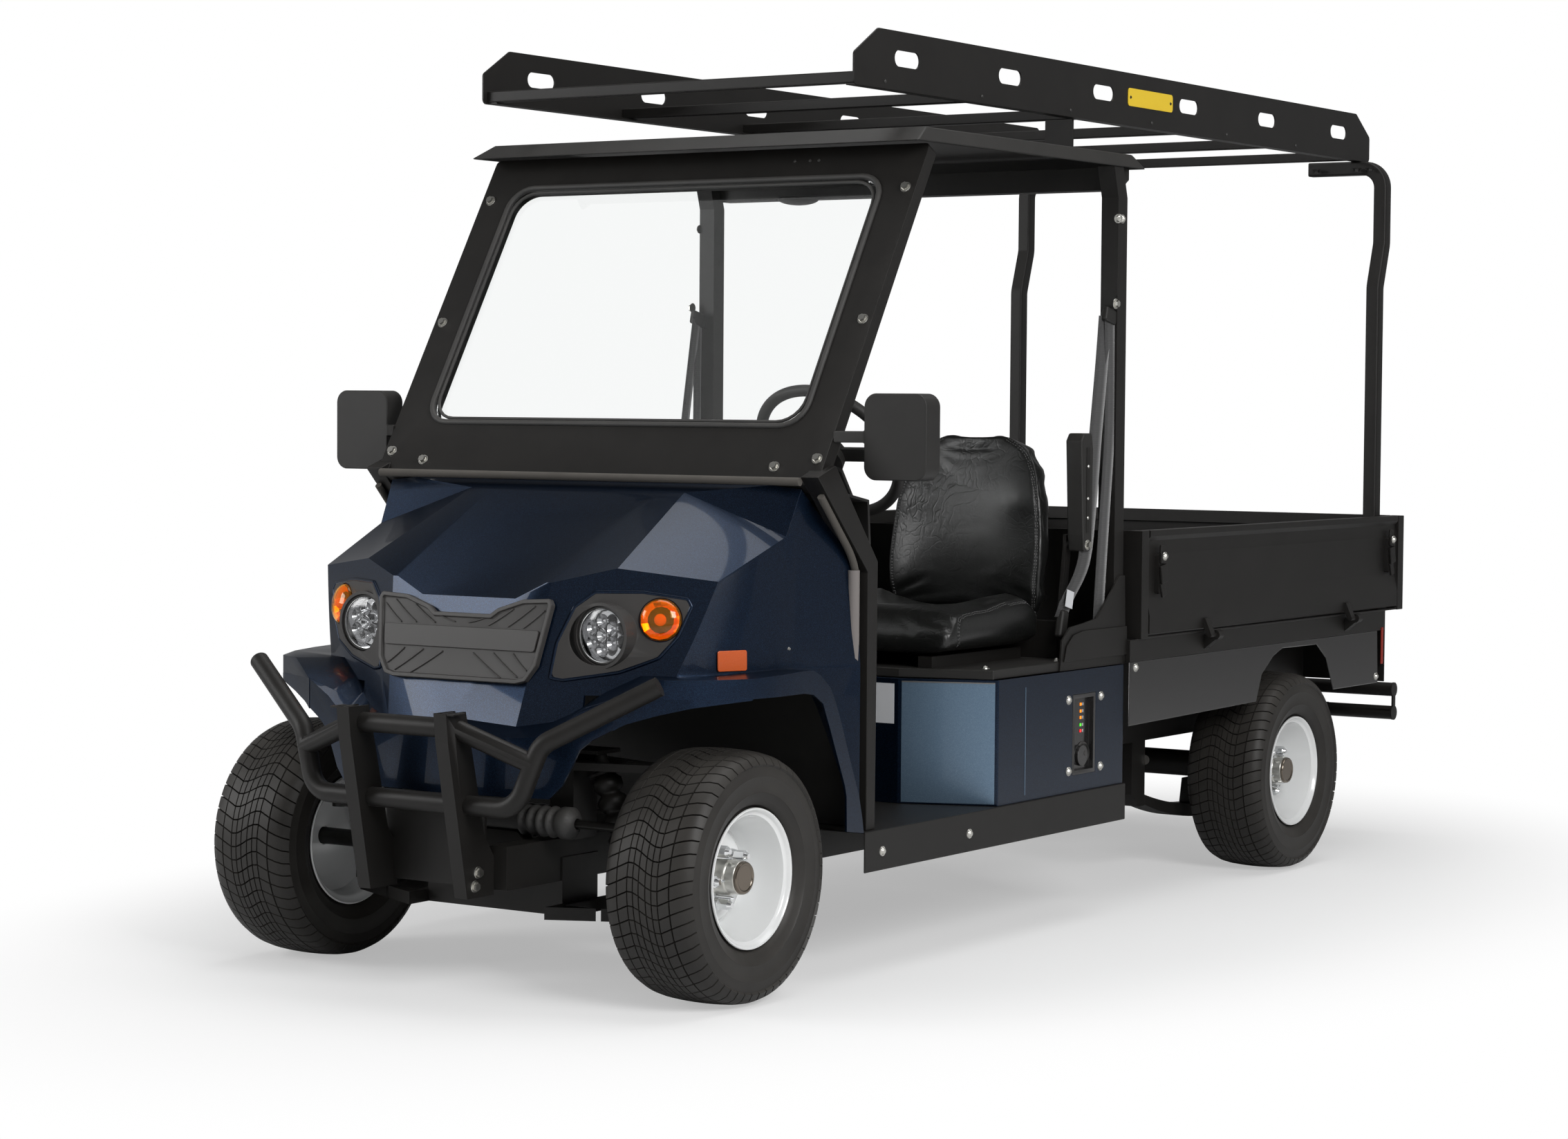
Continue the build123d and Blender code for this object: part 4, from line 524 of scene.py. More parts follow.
def wheelNuts(circle, size, bodyEnd, tip, sides, start=7, seat=9, count=5):
    bm = bmesh.new()
    for i in range(count):
        place = (Matrix.Rotation(2 * math.pi * (i + 0.25) / count, 4, "X")
                 @ Matrix.Translation((0, 0, circle / 1000)) @ turn(90, "Y"))
        cone(bm, size * 1.2, size, seat, place @ raised(start + seat / 2))
        cone(bm, size, size, bodyEnd - start - seat, place @ raised((start + seat + bodyEnd) / 2), sides)
        cone(bm, size * 0.86, size * 0.45, tip - bodyEnd, place @ raised((bodyEnd + tip) / 2))
    return bm


tyreMould = wholeTyre()
for wheel, (x, station) in wheelPlaces.items():
    side = 1 if x > 0 else -1
    toWheel = Matrix.Translation(at(x, station, wheelHeight)) @ Matrix.Diagonal((side, 1, 1, 1))
    spin = turn(rearTurn if station else frontTurn)
    body = "wheel_" + wheel

    def wheelPiece(name, bm, look, smoothBelow=38):
        bm.transform(toWheel @ spin)
        return meshPiece(f"{name}_{wheel}", bm, look, smoothBelow, body=body)

    tyrePiece = wheelPiece("tyreTread", bmFrom(tyreMould), tyreRubber, 34)
    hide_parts("tyre_" + wheel)
    rimPiece = wheelPiece("rimShell", turned(rimShape, 96), rimPaint, 50)
    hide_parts("rim_" + wheel)
    wheelPiece("hubSleeve", turned(hubShape["sleeve"], 64, closed=False), zincPlate)
    wheelPiece("hubCap", turned(hubShape["cap"], 64, closed=False), bronzeCap)
    for name, shape in wheelFasteners.items():
        wheelPiece(name, wheelNuts(**shape), chromePlate, 30)
    valve = bmesh.new()
    lean = turn(62) @ Matrix.Translation((0.012, 0, 0.106)) @ turn(72, "Y")
    for radius, depth, where in valveShape:
        cone(valve, radius, radius * 0.85, depth, lean @ raised(where), 16)
    wheelPiece("valve", valve, bootRubber)
print("the wheels are built")

# Lines, screws and plates that many places use
def tubeAlong(name, points, radius, look, closed=False, rounded=True):
    curve = bpy.data.curves.new(name, "CURVE")
    curve.dimensions = "3D"
    curve.bevel_depth = radius / 1000
    curve.bevel_resolution = 3
    curve.use_fill_caps = True
    line = curve.splines.new("NURBS" if rounded else "POLY")
    line.points.add(len(points) - 1)
    for point, place in zip(line.points, points):
        point.co = (*place, 1)
    line.use_cyclic_u = closed
    if rounded:
        line.order_u = 3
        line.use_endpoint_u = not closed
        line.resolution_u = 6
    holder = newObject(name + "Line", curve)
    bpy.context.view_layer.update()
    data = bpy.data.meshes.new_from_object(holder)
    bpy.data.objects.remove(holder)
    return meshPiece(name, bmFrom(data), look, 50)


def facingFrame(place, normal):  # a matrix whose Z looks along the normal
    return Matrix.Translation(place) @ Vector(normal).to_track_quat("Z", "Y").to_matrix().to_4x4()


# radius, height, radius of the washer and of the socket
screwKinds = {"button": (8, 4.5, 11, 3.2), "hex": (9, 7, 12.5, 0), "small": (4, 2, 0, 1.6)}


def screwsAt(name, places, kind="button", look=None, body="chassis"):
    radius, height, washer, socket = screwKinds[kind]
    bm = bmesh.new()
    for place, normal in places:
        stand = facingFrame(place, normal)
        lift = 1.6 if washer else 0
        if washer:
            cone(bm, washer, washer * 0.95, lift, stand @ raised(lift / 2), 20)
        cone(bm, radius, radius * (0.62 if socket else 0.92), height, stand @ raised(lift + height / 2),
             20 if socket else 6)
        if socket:
            cone(bm, socket, socket * 0.8, 0.6, stand @ raised(lift + height + 0.2), 6)
    return meshPiece(name, bm, look or zincPlate, 30, body=body)


def sideScrews(name, side, points, kind="button", look=None, body="chassis"):
    return screwsAt(name, [(place, (side, 0, 0)) for place in lineOf(side, points)], kind, look, body)


def faceRows(bm, rows, closed=False):  # faces between rows of the same count
    for a, b in zip(rows, rows[1:]):
        for k in range(len(a) if closed else len(a) - 1):
            n = (k + 1) % len(a)
            bm.faces.new((a[k], a[n], b[n], b[k]))


def plate(name, corners, thickness, normal, look, edge=1.0, cornerRound=0, body="chassis"):
    bm = bmesh.new()
    face = bm.faces.new([bm.verts.new(corner) for corner in corners])
    if cornerRound:
        bmesh.ops.bevel(bm, geom=bm.verts[:], offset=cornerRound / 1000, offset_type="OFFSET",
                        affect="VERTICES", segments=5, profile=0.5, material=-1)
        face = bm.faces[:][0]
    grown = bmesh.ops.extrude_face_region(bm, geom=[face])
    moved = [part for part in grown["geom"] if isinstance(part, bmesh.types.BMVert)]
    bmesh.ops.translate(bm, verts=moved, vec=Vector(normal).normalized() * thickness / 1000)
    piece = meshPiece(name, bm, look, 30, body=body)
    return roundEdges(piece, edge) if edge else piece


def block(name, place, tilt, size, edge, segments, look, body="chassis"):
    bm = bmesh.new()
    bmesh.ops.create_cube(bm, size=1, matrix=Matrix.Translation(place) @ turn(tilt)
                          @ Matrix.Diagonal((*(Vector(size) / 1000), 1)))
    return roundEdges(meshPiece(name, bm, look, 40, body=body), edge, segments)


# Lamps: clear lens over seven bright bowls, amber dome over its bulb
headlamp = {"x": 311, "station": -108, "z": 734, "radius": 55, "bowlCircle": 29, "bowlRadius": 14.5,
            "bulge": 7, "ringRadius": 57.5}
lampFacet = {"point": (311, -107, 734), "sweep": 25, "lean": 8, "turnAt": (119, 33), "turnRadius": 43,
             "bulge": 20, "outline": [(-101, -85), (-89, -17), (-55, 55), (-15, 84), (81, 85), (170, 74),
                                      (178, 60), (151, 0), (114, -42), (38, -70), (-74, -89)]}


def dome(radius, bulge, thickness, rings=8):  # a shallow cap along Z, hollow behind
    angles = [math.pi / 2 * i / rings for i in range(rings, -1, -1)]
    outer = [(radius * math.sin(t), bulge * math.cos(t)) for t in angles]
    inner = [(max(r - thickness, 0) if r > 0 else 0, h - thickness) for r, h in outer[::-1]]
    return spun([(r / 1000, 0, h / 1000) for r, h in outer + inner], (0, 0, 1), 48, True)


def lampFrame(side):
    sweep, lean = math.radians(lampFacet["sweep"]), math.radians(lampFacet["lean"])
    normal = Vector((side * math.sin(sweep) * math.cos(lean), -math.cos(sweep) * math.cos(lean),
                     math.sin(lean)))
    across = Vector((math.cos(sweep), side * math.sin(sweep), 0))
    up = normal.cross(across)
    x, station, z = lampFacet["point"]
    return standOf(across, up, normal, at(side * x, station, z))


darkReflector = newFinish("darkReflector", (0.42, 0.42, 0.43), 0.12, 1, 0)[0]
goldReflector = newFinish("goldReflector", (0.95, 0.55, 0.12), 0.15, 1, 0)[0]
bulbGlass = clearFinish("bulbGlass", (1.0, 0.28, 0.02), 0.2, 0.2, 1.45, 0.25)
for side, hand in hands:
    forward = facingFrame(at(side * headlamp["x"], headlamp["station"], headlamp["z"]), (0, -1, 0))
    lens = dome(headlamp["radius"], headlamp["bulge"], 2)
    lens.transform(forward)
    lensPiece = meshPiece(f"headlampLens_{hand}", lens, lampGlass, 50)
    bowls = bmesh.new()
    bmesh.ops.create_circle(bowls, cap_ends=True, segments=48, radius=headlamp["radius"] / 1000,
                            matrix=raised(-20))
    angles = [math.radians(60 * k + 30) for k in range(6)]
    circle = headlamp["bowlCircle"] / 1000
    for bx, by in [(0, 0)] + [(circle * math.cos(a), circle * math.sin(a)) for a in angles]:
        cone(bowls, 4, headlamp["bowlRadius"], 14, Matrix.Translation((bx, by, -0.011)), caps=False)
        bmesh.ops.create_uvsphere(bowls, u_segments=12, v_segments=8, radius=0.0045,
                                  matrix=Matrix.Translation((bx, by, -0.012)))
    cone(bowls, headlamp["radius"], headlamp["radius"], 20, raised(-10), 48, False)
    bowls.transform(forward)
    meshPiece(f"headlampBowls_{hand}", bowls, darkReflector, 30, outward=False)
    reachOut = headlamp["ringRadius"] / 1000
    ring = [forward @ Vector((reachOut * math.cos(a), reachOut * math.sin(a), -0.001))
            for a in [2 * math.pi * k / 24 for k in range(24)]]
    tubeAlong(f"headlampRing_{hand}", ring, 3.2, bootRubber, closed=True)

    facet = lampFrame(side)
    u, v = lampFacet["turnAt"]
    onFacet = facet @ Matrix.Translation((side * u / 1000, v / 1000, 0.003))
    amber = dome(lampFacet["turnRadius"], lampFacet["bulge"], 2.2)
    amber.transform(onFacet)
    amberPiece = meshPiece(f"turnLens_{hand}", amber, amberGlass, 50)
    if side == 1:
        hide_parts("headlamps")
        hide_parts("turn_lamps")
    inside = bmesh.new()
    cone(inside, 12, 39, 16, raised(-4), 14)
    top = [face for face in inside.faces if face.normal.z > 0.9]
    bmesh.ops.delete(inside, geom=top, context="FACES_ONLY")
    inside.transform(onFacet)
    meshPiece(f"turnReflector_{hand}", inside, goldReflector, 10, outward=False)
    bulb = bmesh.new()
    bmesh.ops.create_uvsphere(bulb, u_segments=20, v_segments=14, radius=0.0125, matrix=onFacet @ raised(3))
    meshPiece(f"turnBulb_{hand}", bulb, bulbGlass, 50)

    # rolled lip of the cowl round the lamp surround
    outline = lampFacet["outline"]
    middleU = sum(point[0] for point in outline) / len(outline)
    lip = []
    for k, (bu, bv) in enumerate(outline):
        nu, nv = outline[(k + 1) % len(outline)]
        for t in (0.04, 0.5, 0.96):
            lu, lv = bu + (nu - bu) * t, bv + (nv - bv) * t
            out = Vector((lu - middleU, lv)).normalized() * 3.5
            lip.append(facet @ Vector((side * (lu + out.x) / 1000, (lv + out.y) / 1000, 0)))
    tubeAlong(f"lampLip_{hand}", lip, 4.2, navyPaint, closed=True)
print("the lamps are built")

# Screws and studs, each set on the face that lies nearest to its place
def skinOf(bm):
    found = BVHTree.FromBMesh(bm)
    bm.free()
    return found


def surfaceOf(node):
    return skinOf(bmFrom(bpy.data.objects[node].data))


surfaces = {}


def settled(node, x, station, z):
    if node not in surfaces:
        surfaces[node] = surfaceOf(node)
    return surfaces[node].find_nearest(at(x, station, z))[:2]


def bothSides(places):
    return [(side * x, station, z) for x, station, z in places for side in (1, -1)]


screwRows = [
    ("front_frame", "hex", bothSides([(564, 600, 1680), (567, 430, 1395), (569, 255, 1105)])),
    ("front_frame", "hex", bothSides([(470, 236, 1092)])),
    ("floor", "button", bothSides([(618, 470, 262), (618, 830, 262)])),
    ("cowl", "small", bothSides([(557, 204, 701)])),
    ("seat_deck", "button", bothSides([(560, 990, 613), (575, 1290, 613), (300, 898, 613)])),
    ("seat_box", "button", [(610, 1288, 523), (610, 1443, 523), (610, 1290, 358), (610, 1443, 358)]),
    ("roof_posts", "button", bothSides([(600, 1500, 1640), (600, 1540, 1640)])),
    ("rear_axle", "hex", bothSides([(360, 2440, 230), (360, 2540, 230)])),
    ("frame", "hex", bothSides([(410, 1700, 400), (410, 3000, 390), (430, 2120, 300), (430, 2880, 300)])),
    ("bull_bar", "hex", bothSides([(142, -300, 235), (142, -290, 262)])),
    ("rear_fenders", "button", bothSides([(618, 1600, 580), (618, 3000, 470)])),
]
for number, (node, kind, places) in enumerate(screwRows):
    screwsAt(f"screws_{node}_{number}", [settled(node, *place) for place in places], kind)
print("the screws are set")

# Seats: vinyl pads swollen by cloth pressure, held along their seams
def between(table, where):  # a smooth value from a short table of (place, value)
    for (a, low), (b, high) in zip(table, table[1:]):
        if where <= b:
            share = min(max((where - a) / (b - a), 0), 1)
            return low + (high - low) * share * share * (3 - 2 * share)
    return table[-1][1]


def ringStack(rings):  # closed skin over rings of the same count
    bm = bmesh.new()
    loops = []
    for ring in rings:
        corners = [bm.verts.new(corner) for corner in ring]
        loops.append([bm.edges.new(pair) for pair in zip(corners, corners[1:] + corners[:1])])
    for lower, upper in zip(loops, loops[1:]):
        bmesh.ops.bridge_loops(bm, edges=lower + upper)
    for loop in (loops[0], loops[-1]):
        bmesh.ops.contextual_create(bm, geom=loop)
    bmesh.ops.recalc_face_normals(bm, faces=bm.faces)
    return bm


def squareRound(angle, power):  # a point of a rounded square of half width 1
    c, d = math.cos(angle), math.sin(angle)
    return math.copysign(abs(c) ** (2 / power), c), math.copysign(abs(d) ** (2 / power), d)


seat = {"x": 295, "ringCount": 72, "rings": 33, "voxel": 7, "cap": 12, "steps": 20, "seamDepth": 2.2,
        "held": 0.012, "pulled": 0.009}
clothSettings = {"quality": 5, "mass": 0.4, "tension_stiffness": 12, "compression_stiffness": 12,
                 "bending_stiffness": 0.4, "vertex_group_mass": "held", "pin_stiffness": 4,
                 "use_pressure": True, "uniform_pressure_force": 4.0}
seatBack = {"width": [(700, 196), (760, 214), (860, 219), (960, 211), (1040, 192), (1100, 158), (1141, 92)],
            "front": [(700, 1342), (790, 1318), (960, 1336), (1132, 1380)],
            "rear": [(700, 1384), (760, 1398), (1120, 1432), (1141, 1424)],
            "low": 706, "high": 1136, "wing": 9}
seatCushion = {"side": [(900, 708), (960, 744), (1080, 750), (1180, 764), (1260, 768), (1326, 742)],
               "middle": [(900, 704), (960, 738), (1100, 726), (1326, 718)],
               "low": 643, "front": 902, "rear": 1324, "width": 222}


def padRings(low, high, endPower, leastEnd, squareness, corner):  # rings whose ends close in smoothly
    rings = []
    for k in range(seat["rings"]):
        u = k / (seat["rings"] - 1)
        along = low + (high - low) * (0.5 - 0.5 * math.cos(math.pi * u))
        close = math.sqrt(max(1 - abs(2 * u - 1) ** endPower, leastEnd))
        angles = [2 * math.pi * j / seat["ringCount"] for j in range(seat["ringCount"])]
        rings.append([corner(along, close, *squareRound(angle, squareness)) for angle in angles])
    return rings


def backCorner(z, close, a, b):
    front, rear = between(seatBack["front"], z), between(seatBack["rear"], z)
    station = (front + rear) / 2 - b * close * (rear - front) / 2
    if b > 0:
        station += seatBack["wing"] * (1 - min(abs(a) / 0.72, 1) ** 2)
    return at(seat["x"] + a * close ** 0.3 * between(seatBack["width"], z), station, z)


def cushionCorner(station, close, a, b):
    edge = min(abs(a) / 0.8, 1) ** 2.5
    top = between(seatCushion["middle"], station) * (1 - edge) + between(seatCushion["side"], station) * edge
    return at(seat["x"] + a * close ** 0.35 * seatCushion["width"], station,
              (top + seatCushion["low"]) / 2 + b * close * (top - seatCushion["low"]) / 2)


def sampled(points, step=0.004):  # a smooth line through points at even steps
    found = []
    for k in range(len(points) - 1):
        p0, p1 = points[max(k - 1, 0)], points[k]
        p2, p3 = points[k + 1], points[min(k + 2, len(points) - 1)]
        count = max(int((p2 - p1).length / step), 1)
        for n in range(count):
            t = n / count
            found.append(0.5 * ((2 * p1) + (p2 - p0) * t + (2 * p0 - 5 * p1 + 4 * p2 - p3) * t * t
                                + (3 * p1 - p0 - 3 * p2 + p3) * t ** 3))
    return found + [points[-1]]


def settle(piece):  # what the modifiers make becomes the mesh
    bpy.context.view_layer.update()
    graph = bpy.context.evaluated_depsgraph_get()
    made = bpy.data.meshes.new_from_object(piece.evaluated_get(graph), preserve_all_data_layers=True,
                                           depsgraph=graph)
    piece.modifiers.clear()
    piece.data = made


def swollen(piece, cap):  # cloth pressure lifts the skin between its held lines, by no more than the cap
    start = [vertex.co.copy() for vertex in piece.data.vertices]
    cloth = piece.modifiers.new("swell", "CLOTH")
    for setting, value in clothSettings.items():
        setattr(cloth.settings, setting, value)
    cloth.settings.effector_weights.gravity = 0
    cloth.point_cache.frame_start = 1
    cloth.point_cache.frame_end = seat["steps"]
    for frameNumber in range(1, seat["steps"] + 1):
        bpy.context.scene.frame_set(frameNumber)
    settle(piece)
    for vertex, old in zip(piece.data.vertices, start):
        move = vertex.co - old
        if move.length > cap / 1000:
            vertex.co = old + move.normalized() * cap / 1000


def sewnSwell(name, bm, seams, flatBelow):
    piece = newObject(name, meshFrom(name, bm))
    remesh = piece.modifiers.new("voxels", "REMESH")
    remesh.mode = "VOXEL"
    remesh.voxel_size = seat["voxel"] / 1000
    remesh.use_smooth_shade = True
    settle(piece)
    held = piece.vertex_groups.new(name="held")
    points = [point for seam in seams for point in seam]
    seamTree = KDTree(len(points))
    for k, point in enumerate(points):
        seamTree.insert(point, k)
    seamTree.balance()
    for vertex in piece.data.vertices:
        weight = max(1 - seamTree.find(vertex.co)[2] / seat["held"], 0)
        if vertex.co.z < flatBelow:
            weight = 1
        if weight > 0:
            held.add([vertex.index], weight, "REPLACE")
    swollen(piece, seat["cap"])
    piece.modifiers.new("relax", "SMOOTH").iterations = 2
    finer = piece.modifiers.new("finer", "SUBSURF")
    finer.levels = finer.render_levels = 1
    settle(piece)
    for vertex in piece.data.vertices:  # the seam pulls the skin down
        gap = seamTree.find(vertex.co)[2]
        if gap < seat["pulled"]:
            vertex.co -= vertex.normal * seat["seamDepth"] / 1000 * (1 - gap / seat["pulled"]) ** 1.5
    piece.data.materials.clear()
    piece.data.materials.append(leather)
    piece.data.shade_smooth()
    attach(piece, "chassis")
    return piece


def mirrored(piece, name):
    bm = bmFrom(piece.data)
    bmesh.ops.scale(bm, verts=bm.verts, vec=(-1, 1, 1))
    bmesh.ops.reverse_faces(bm, faces=bm.faces)
    data = meshFrom(name, bm)
    data.shade_smooth()
    return placed(name, data, piece.data.materials[0], "chassis")


def stitchRow(name, skin, seam, offset, look):  # short thread stitches lying on the skin beside a seam
    bm = bmesh.new()
    pitch, length, half = 0.0068, 0.0046, 0.0007
    line = sampled(seam, pitch)
    for a, b in zip(line, line[1:]):
        along = (b - a).normalized()
        place, normal = skin.find_nearest((a + b) / 2)[:2]
        across = along.cross(normal).normalized()
        place, normal = skin.find_nearest(place + across * offset / 1000)[:2]
        along = (along - normal * along.dot(normal)).normalized()
        stand = standOf(along, normal.cross(along), normal, place + normal * 0.0003)
        bmesh.ops.create_icosphere(bm, subdivisions=1, radius=1,
                                   matrix=stand @ Matrix.Diagonal((length / 2, half, half, 1)))
    return meshPiece(name, bm, look, 60)


thread = newFinish("thread", (0.16, 0.16, 0.16), 0.6, 0, 0)[0]
sideSeamShape = [(962, 652), (948, 690), (958, 722), (985, 738), (1040, 744), (1110, 748), (1170, 758),
                 (1220, 765), (1264, 762), (1300, 746), (1318, 716)]
backSeamShape = [(1, 726), (1, 780), (0.99, 860), (0.985, 960), (0.97, 1040), (0.95, 1092), (0.86, 1124)]
cushionSeams = [[at(seat["x"] + side * (seatCushion["width"] - 3), station, z)
                 for station, z in sideSeamShape] for side in (1, -1)]
backSeams = [[at(seat["x"] + side * share * (between(seatBack["width"], z) - 14),
                 between(seatBack["front"], z) + 3, z) for share, z in backSeamShape] for side in (1, -1)]
cushionRings = padRings(seatCushion["front"], seatCushion["rear"], 8, 0.05, 4.2, cushionCorner)
backRings = padRings(seatBack["low"], seatBack["high"], 10, 0.02, 3.4, backCorner)
for name, node, rings, seams, flatBelow in (
        ("seatCushion", "seat_cushions", cushionRings, cushionSeams, 0.647),
        ("seatBack", "seat_backs", backRings, backSeams, 0.0)):
    padSkin = ringStack(rings)
    seamSkin = BVHTree.FromBMesh(padSkin)
    onSkin = [[seamSkin.find_nearest(point)[0] for point in sampled(seam)] for seam in seams]
    pad = sewnSwell(name + "_left", padSkin, onSkin, flatBelow)
    twin = mirrored(pad, name + "_right")
    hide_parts(node)
    skin = skinOf(bmFrom(pad.data))
    for k, seam in enumerate(seams):
        for offset in (-2.6, 2.6):
            row = stitchRow(f"{name}Stitch_{k}_{'in' if offset < 0 else 'out'}", skin, seam, offset, thread)
            mirrored(row, row.name + "_right")
print("the seats are sewn")

# Grille: inside its raised border, a bare band across the middle, ribs fanning above and below it
grille = {"point": (0, -165, 720), "tilt": 12.4, "face": 10, "rib": 1.6,
          "band": [(-196, -24), (196, -24), (202, 20), (-202, 20)],
          "fans": [[(18, 30), (66, 44)], [(70, 26), (128, 62)], [(120, 25), (182, 70)],
                   [(160, 24), (208, 62)], [(40, -32), (118, -80)], [(92, -30), (160, -76)],
                   [(142, -29), (182, -62)]]}
tilt = math.radians(grille["tilt"])
grilleNormal = Vector((0, -math.cos(tilt), math.sin(tilt)))
grilleStand = standOf((1, 0, 0), (0, math.sin(tilt), math.cos(tilt)), grilleNormal, at(*grille["point"]))


def onGrille(u, v, lift):
    return grilleStand @ Vector((u / 1000, v / 1000, (grille["face"] + lift) / 1000))


plate("grilleBand", [onGrille(u, v, -0.5) for u, v in grille["band"]], 3.2,
      grilleNormal, lampPlastic, 1.2, 6)
for number, ((u0, v0), (u1, v1)) in enumerate(grille["fans"]):
    for side in (1, -1):
        rib = [onGrille(side * u0, v0, 0), onGrille(side * (u0 + u1) / 2, (v0 + v1) / 2 - 3, 0.2),
               onGrille(side * u1, v1, 0)]
        tubeAlong(f"grilleRib_{number}_{side}", rib, grille["rib"], lampPlastic)

# Fender corners: the wall between the wheel arch and the ledge, in front of the wheels
def straight(table, x, slack=0):  # a value on the straight lines of a table of (place, value)
    return next(a[1] + (b[1] - a[1]) * (x - a[0]) / (b[0] - a[0])
                for a, b in zip(table, table[1:]) if x <= b[0] + slack)


fenderWall = {"contour": [(398, -186), (540, -110), (605, 0)], "top": 616.5, "wall": 4,
              "arch": [(398, 553), (416, 565), (474, 584), (536, 600), (605, 612)]}
for side, hand in hands:
    line = []
    for (x0, y0), (x1, y1) in zip(fenderWall["contour"], fenderWall["contour"][1:]):
        line += [(x0 + (x1 - x0) * k / 12, y0 + (y1 - y0) * k / 12) for k in range(12)]
    line.append(fenderWall["contour"][-1])
    bm = bmesh.new()
    rows = []
    inner = Vector((-0.55, 0.83)) * fenderWall["wall"]
    for x, station in line:
        low = straight(fenderWall["arch"], x)
        rows.append([bm.verts.new(at(side * (x + inner.x * k), station + inner.y * k, z))
                     for k, z in ((-0.1, low), (-0.1, fenderWall["top"]), (1, fenderWall["top"]), (1, low))])
    faceRows(bm, rows, closed=True)
    for row in (rows[0], rows[-1]):
        bm.faces.new(row)
    meshPiece(f"fenderCorner_{hand}", bm, navyPaint, 40)

# and the strip of ledge between that wall and the hood
ledge = {"profile": [(286, 629), (297, 635), (327, 652), (400, 675)], "slope": 0.4, "at": -40, "front": -184,
         "cutAt": 614, "wall": 4}
for side, hand in hands:
    bm = bmesh.new()
    top, under = [], []
    for k in range(15):
        x = 286 + (402 - 286) * k / 14
        level = straight(ledge["profile"], x, 2)
        rear = max((ledge["cutAt"] - level) / ledge["slope"] + ledge["at"] + 6, ledge["front"] + 1)
        row = [ledge["front"] + (rear - ledge["front"]) * n / 6 for n in range(7)]
        heights = [level + ledge["slope"] * (station - ledge["at"]) for station in row]
        for line, lift in ((top, 0.3), (under, -ledge["wall"])):
            line.append([bm.verts.new(at(side * x, station, z + lift)) for station, z in zip(row, heights)])
    faceRows(bm, top)
    faceRows(bm, under)
    border = [[row[0] for row in rows] + rows[-1][1:] + [row[-1] for row in rows[::-1]][1:]
              + rows[0][::-1][1:-1] for rows in (top, under)]
    faceRows(bm, border, closed=True)
    meshPiece(f"fenderLedge_{hand}", bm, navyPaint, 40)

# Rubber moulding round the windshield glass, plugs in the frame's head
glassEdge = {"low": 143, "high": 762, "half": 501, "corner": 58, "rake": 59.2, "foot": (249.7, 1034.3)}
rakeAngle = math.radians(glassEdge["rake"])


def onScreen(u, v, lift):  # across and up the raked windshield, in front of its frame
    along = Vector((0, math.cos(rakeAngle), math.sin(rakeAngle)))
    out = Vector((0, -math.sin(rakeAngle), math.cos(rakeAngle)))
    return at(u, *glassEdge["foot"]) + (along * v + out * lift) / 1000


def roundedLoop(half, low, high, corner, lift):
    loop = []
    for cx, cy, start in ((half - corner, high - corner, 0), (corner - half, high - corner, 90),
                          (corner - half, low + corner, 180), (half - corner, low + corner, 270)):
        for k in range(7):
            angle = math.radians(start + 15 * k)
            loop.append(onScreen(cx + corner * math.cos(angle), cy + corner * math.sin(angle), lift))
    return loop


screenRay = onScreen(0, 60, 0) - onScreen(0, 60, 200)
screenFace = surfaceOf("front_frame").ray_cast(onScreen(0, 60, 200), screenRay)[0]
screenLift = (screenFace - onScreen(0, 60, 0)).length * 1000
for name, grow, radius, lift in (("moulding", 3, 6.5, 0), ("mouldingLip", -9, 3.6, -3)):
    loop = roundedLoop(glassEdge["half"] + grow, glassEdge["low"] - grow, glassEdge["high"] + grow,
                       glassEdge["corner"], screenLift + lift)
    tubeAlong(name, loop, radius, bootRubber, closed=True, rounded=False)
screenNormal = onScreen(0, 0, 1) - onScreen(0, 0, 0)
plugs = [(onScreen(x, 812, screenLift), screenNormal) for x in (255, 295, 318)]
screwsAt("framePlugs", plugs, "small", bootRubber)

for side, hand in hands:
    flange = lineOf(side, ((124, -391, 583), (160, -391, 583), (160, -352, 583), (124, -352, 583)))
    plate(f"guardFlange_{hand}", flange, 4, (0, 0, 1), powderCoat, 1)

# Foam strips: along the foot of the windshield, the oblique posts and the uprights
postFoam = [(592, 262, 1012), (592, 330, 940), (592, 388, 880), (592, 396, 850)]
for side, hand in hands:
    tubeAlong(f"uprightFoam_{hand}", lineOf(side, ((590, 392, 385), (590, 392, 856))), 13, foamGrey,
              rounded=False)
    tubeAlong(f"postFoam_{hand}", lineOf(side, postFoam), 8, warmFoam)
tubeAlong("windshieldFoam", [at(x, 233, 1042) for x in (-560, -280, 0, 280, 560)], 9, warmFoam)

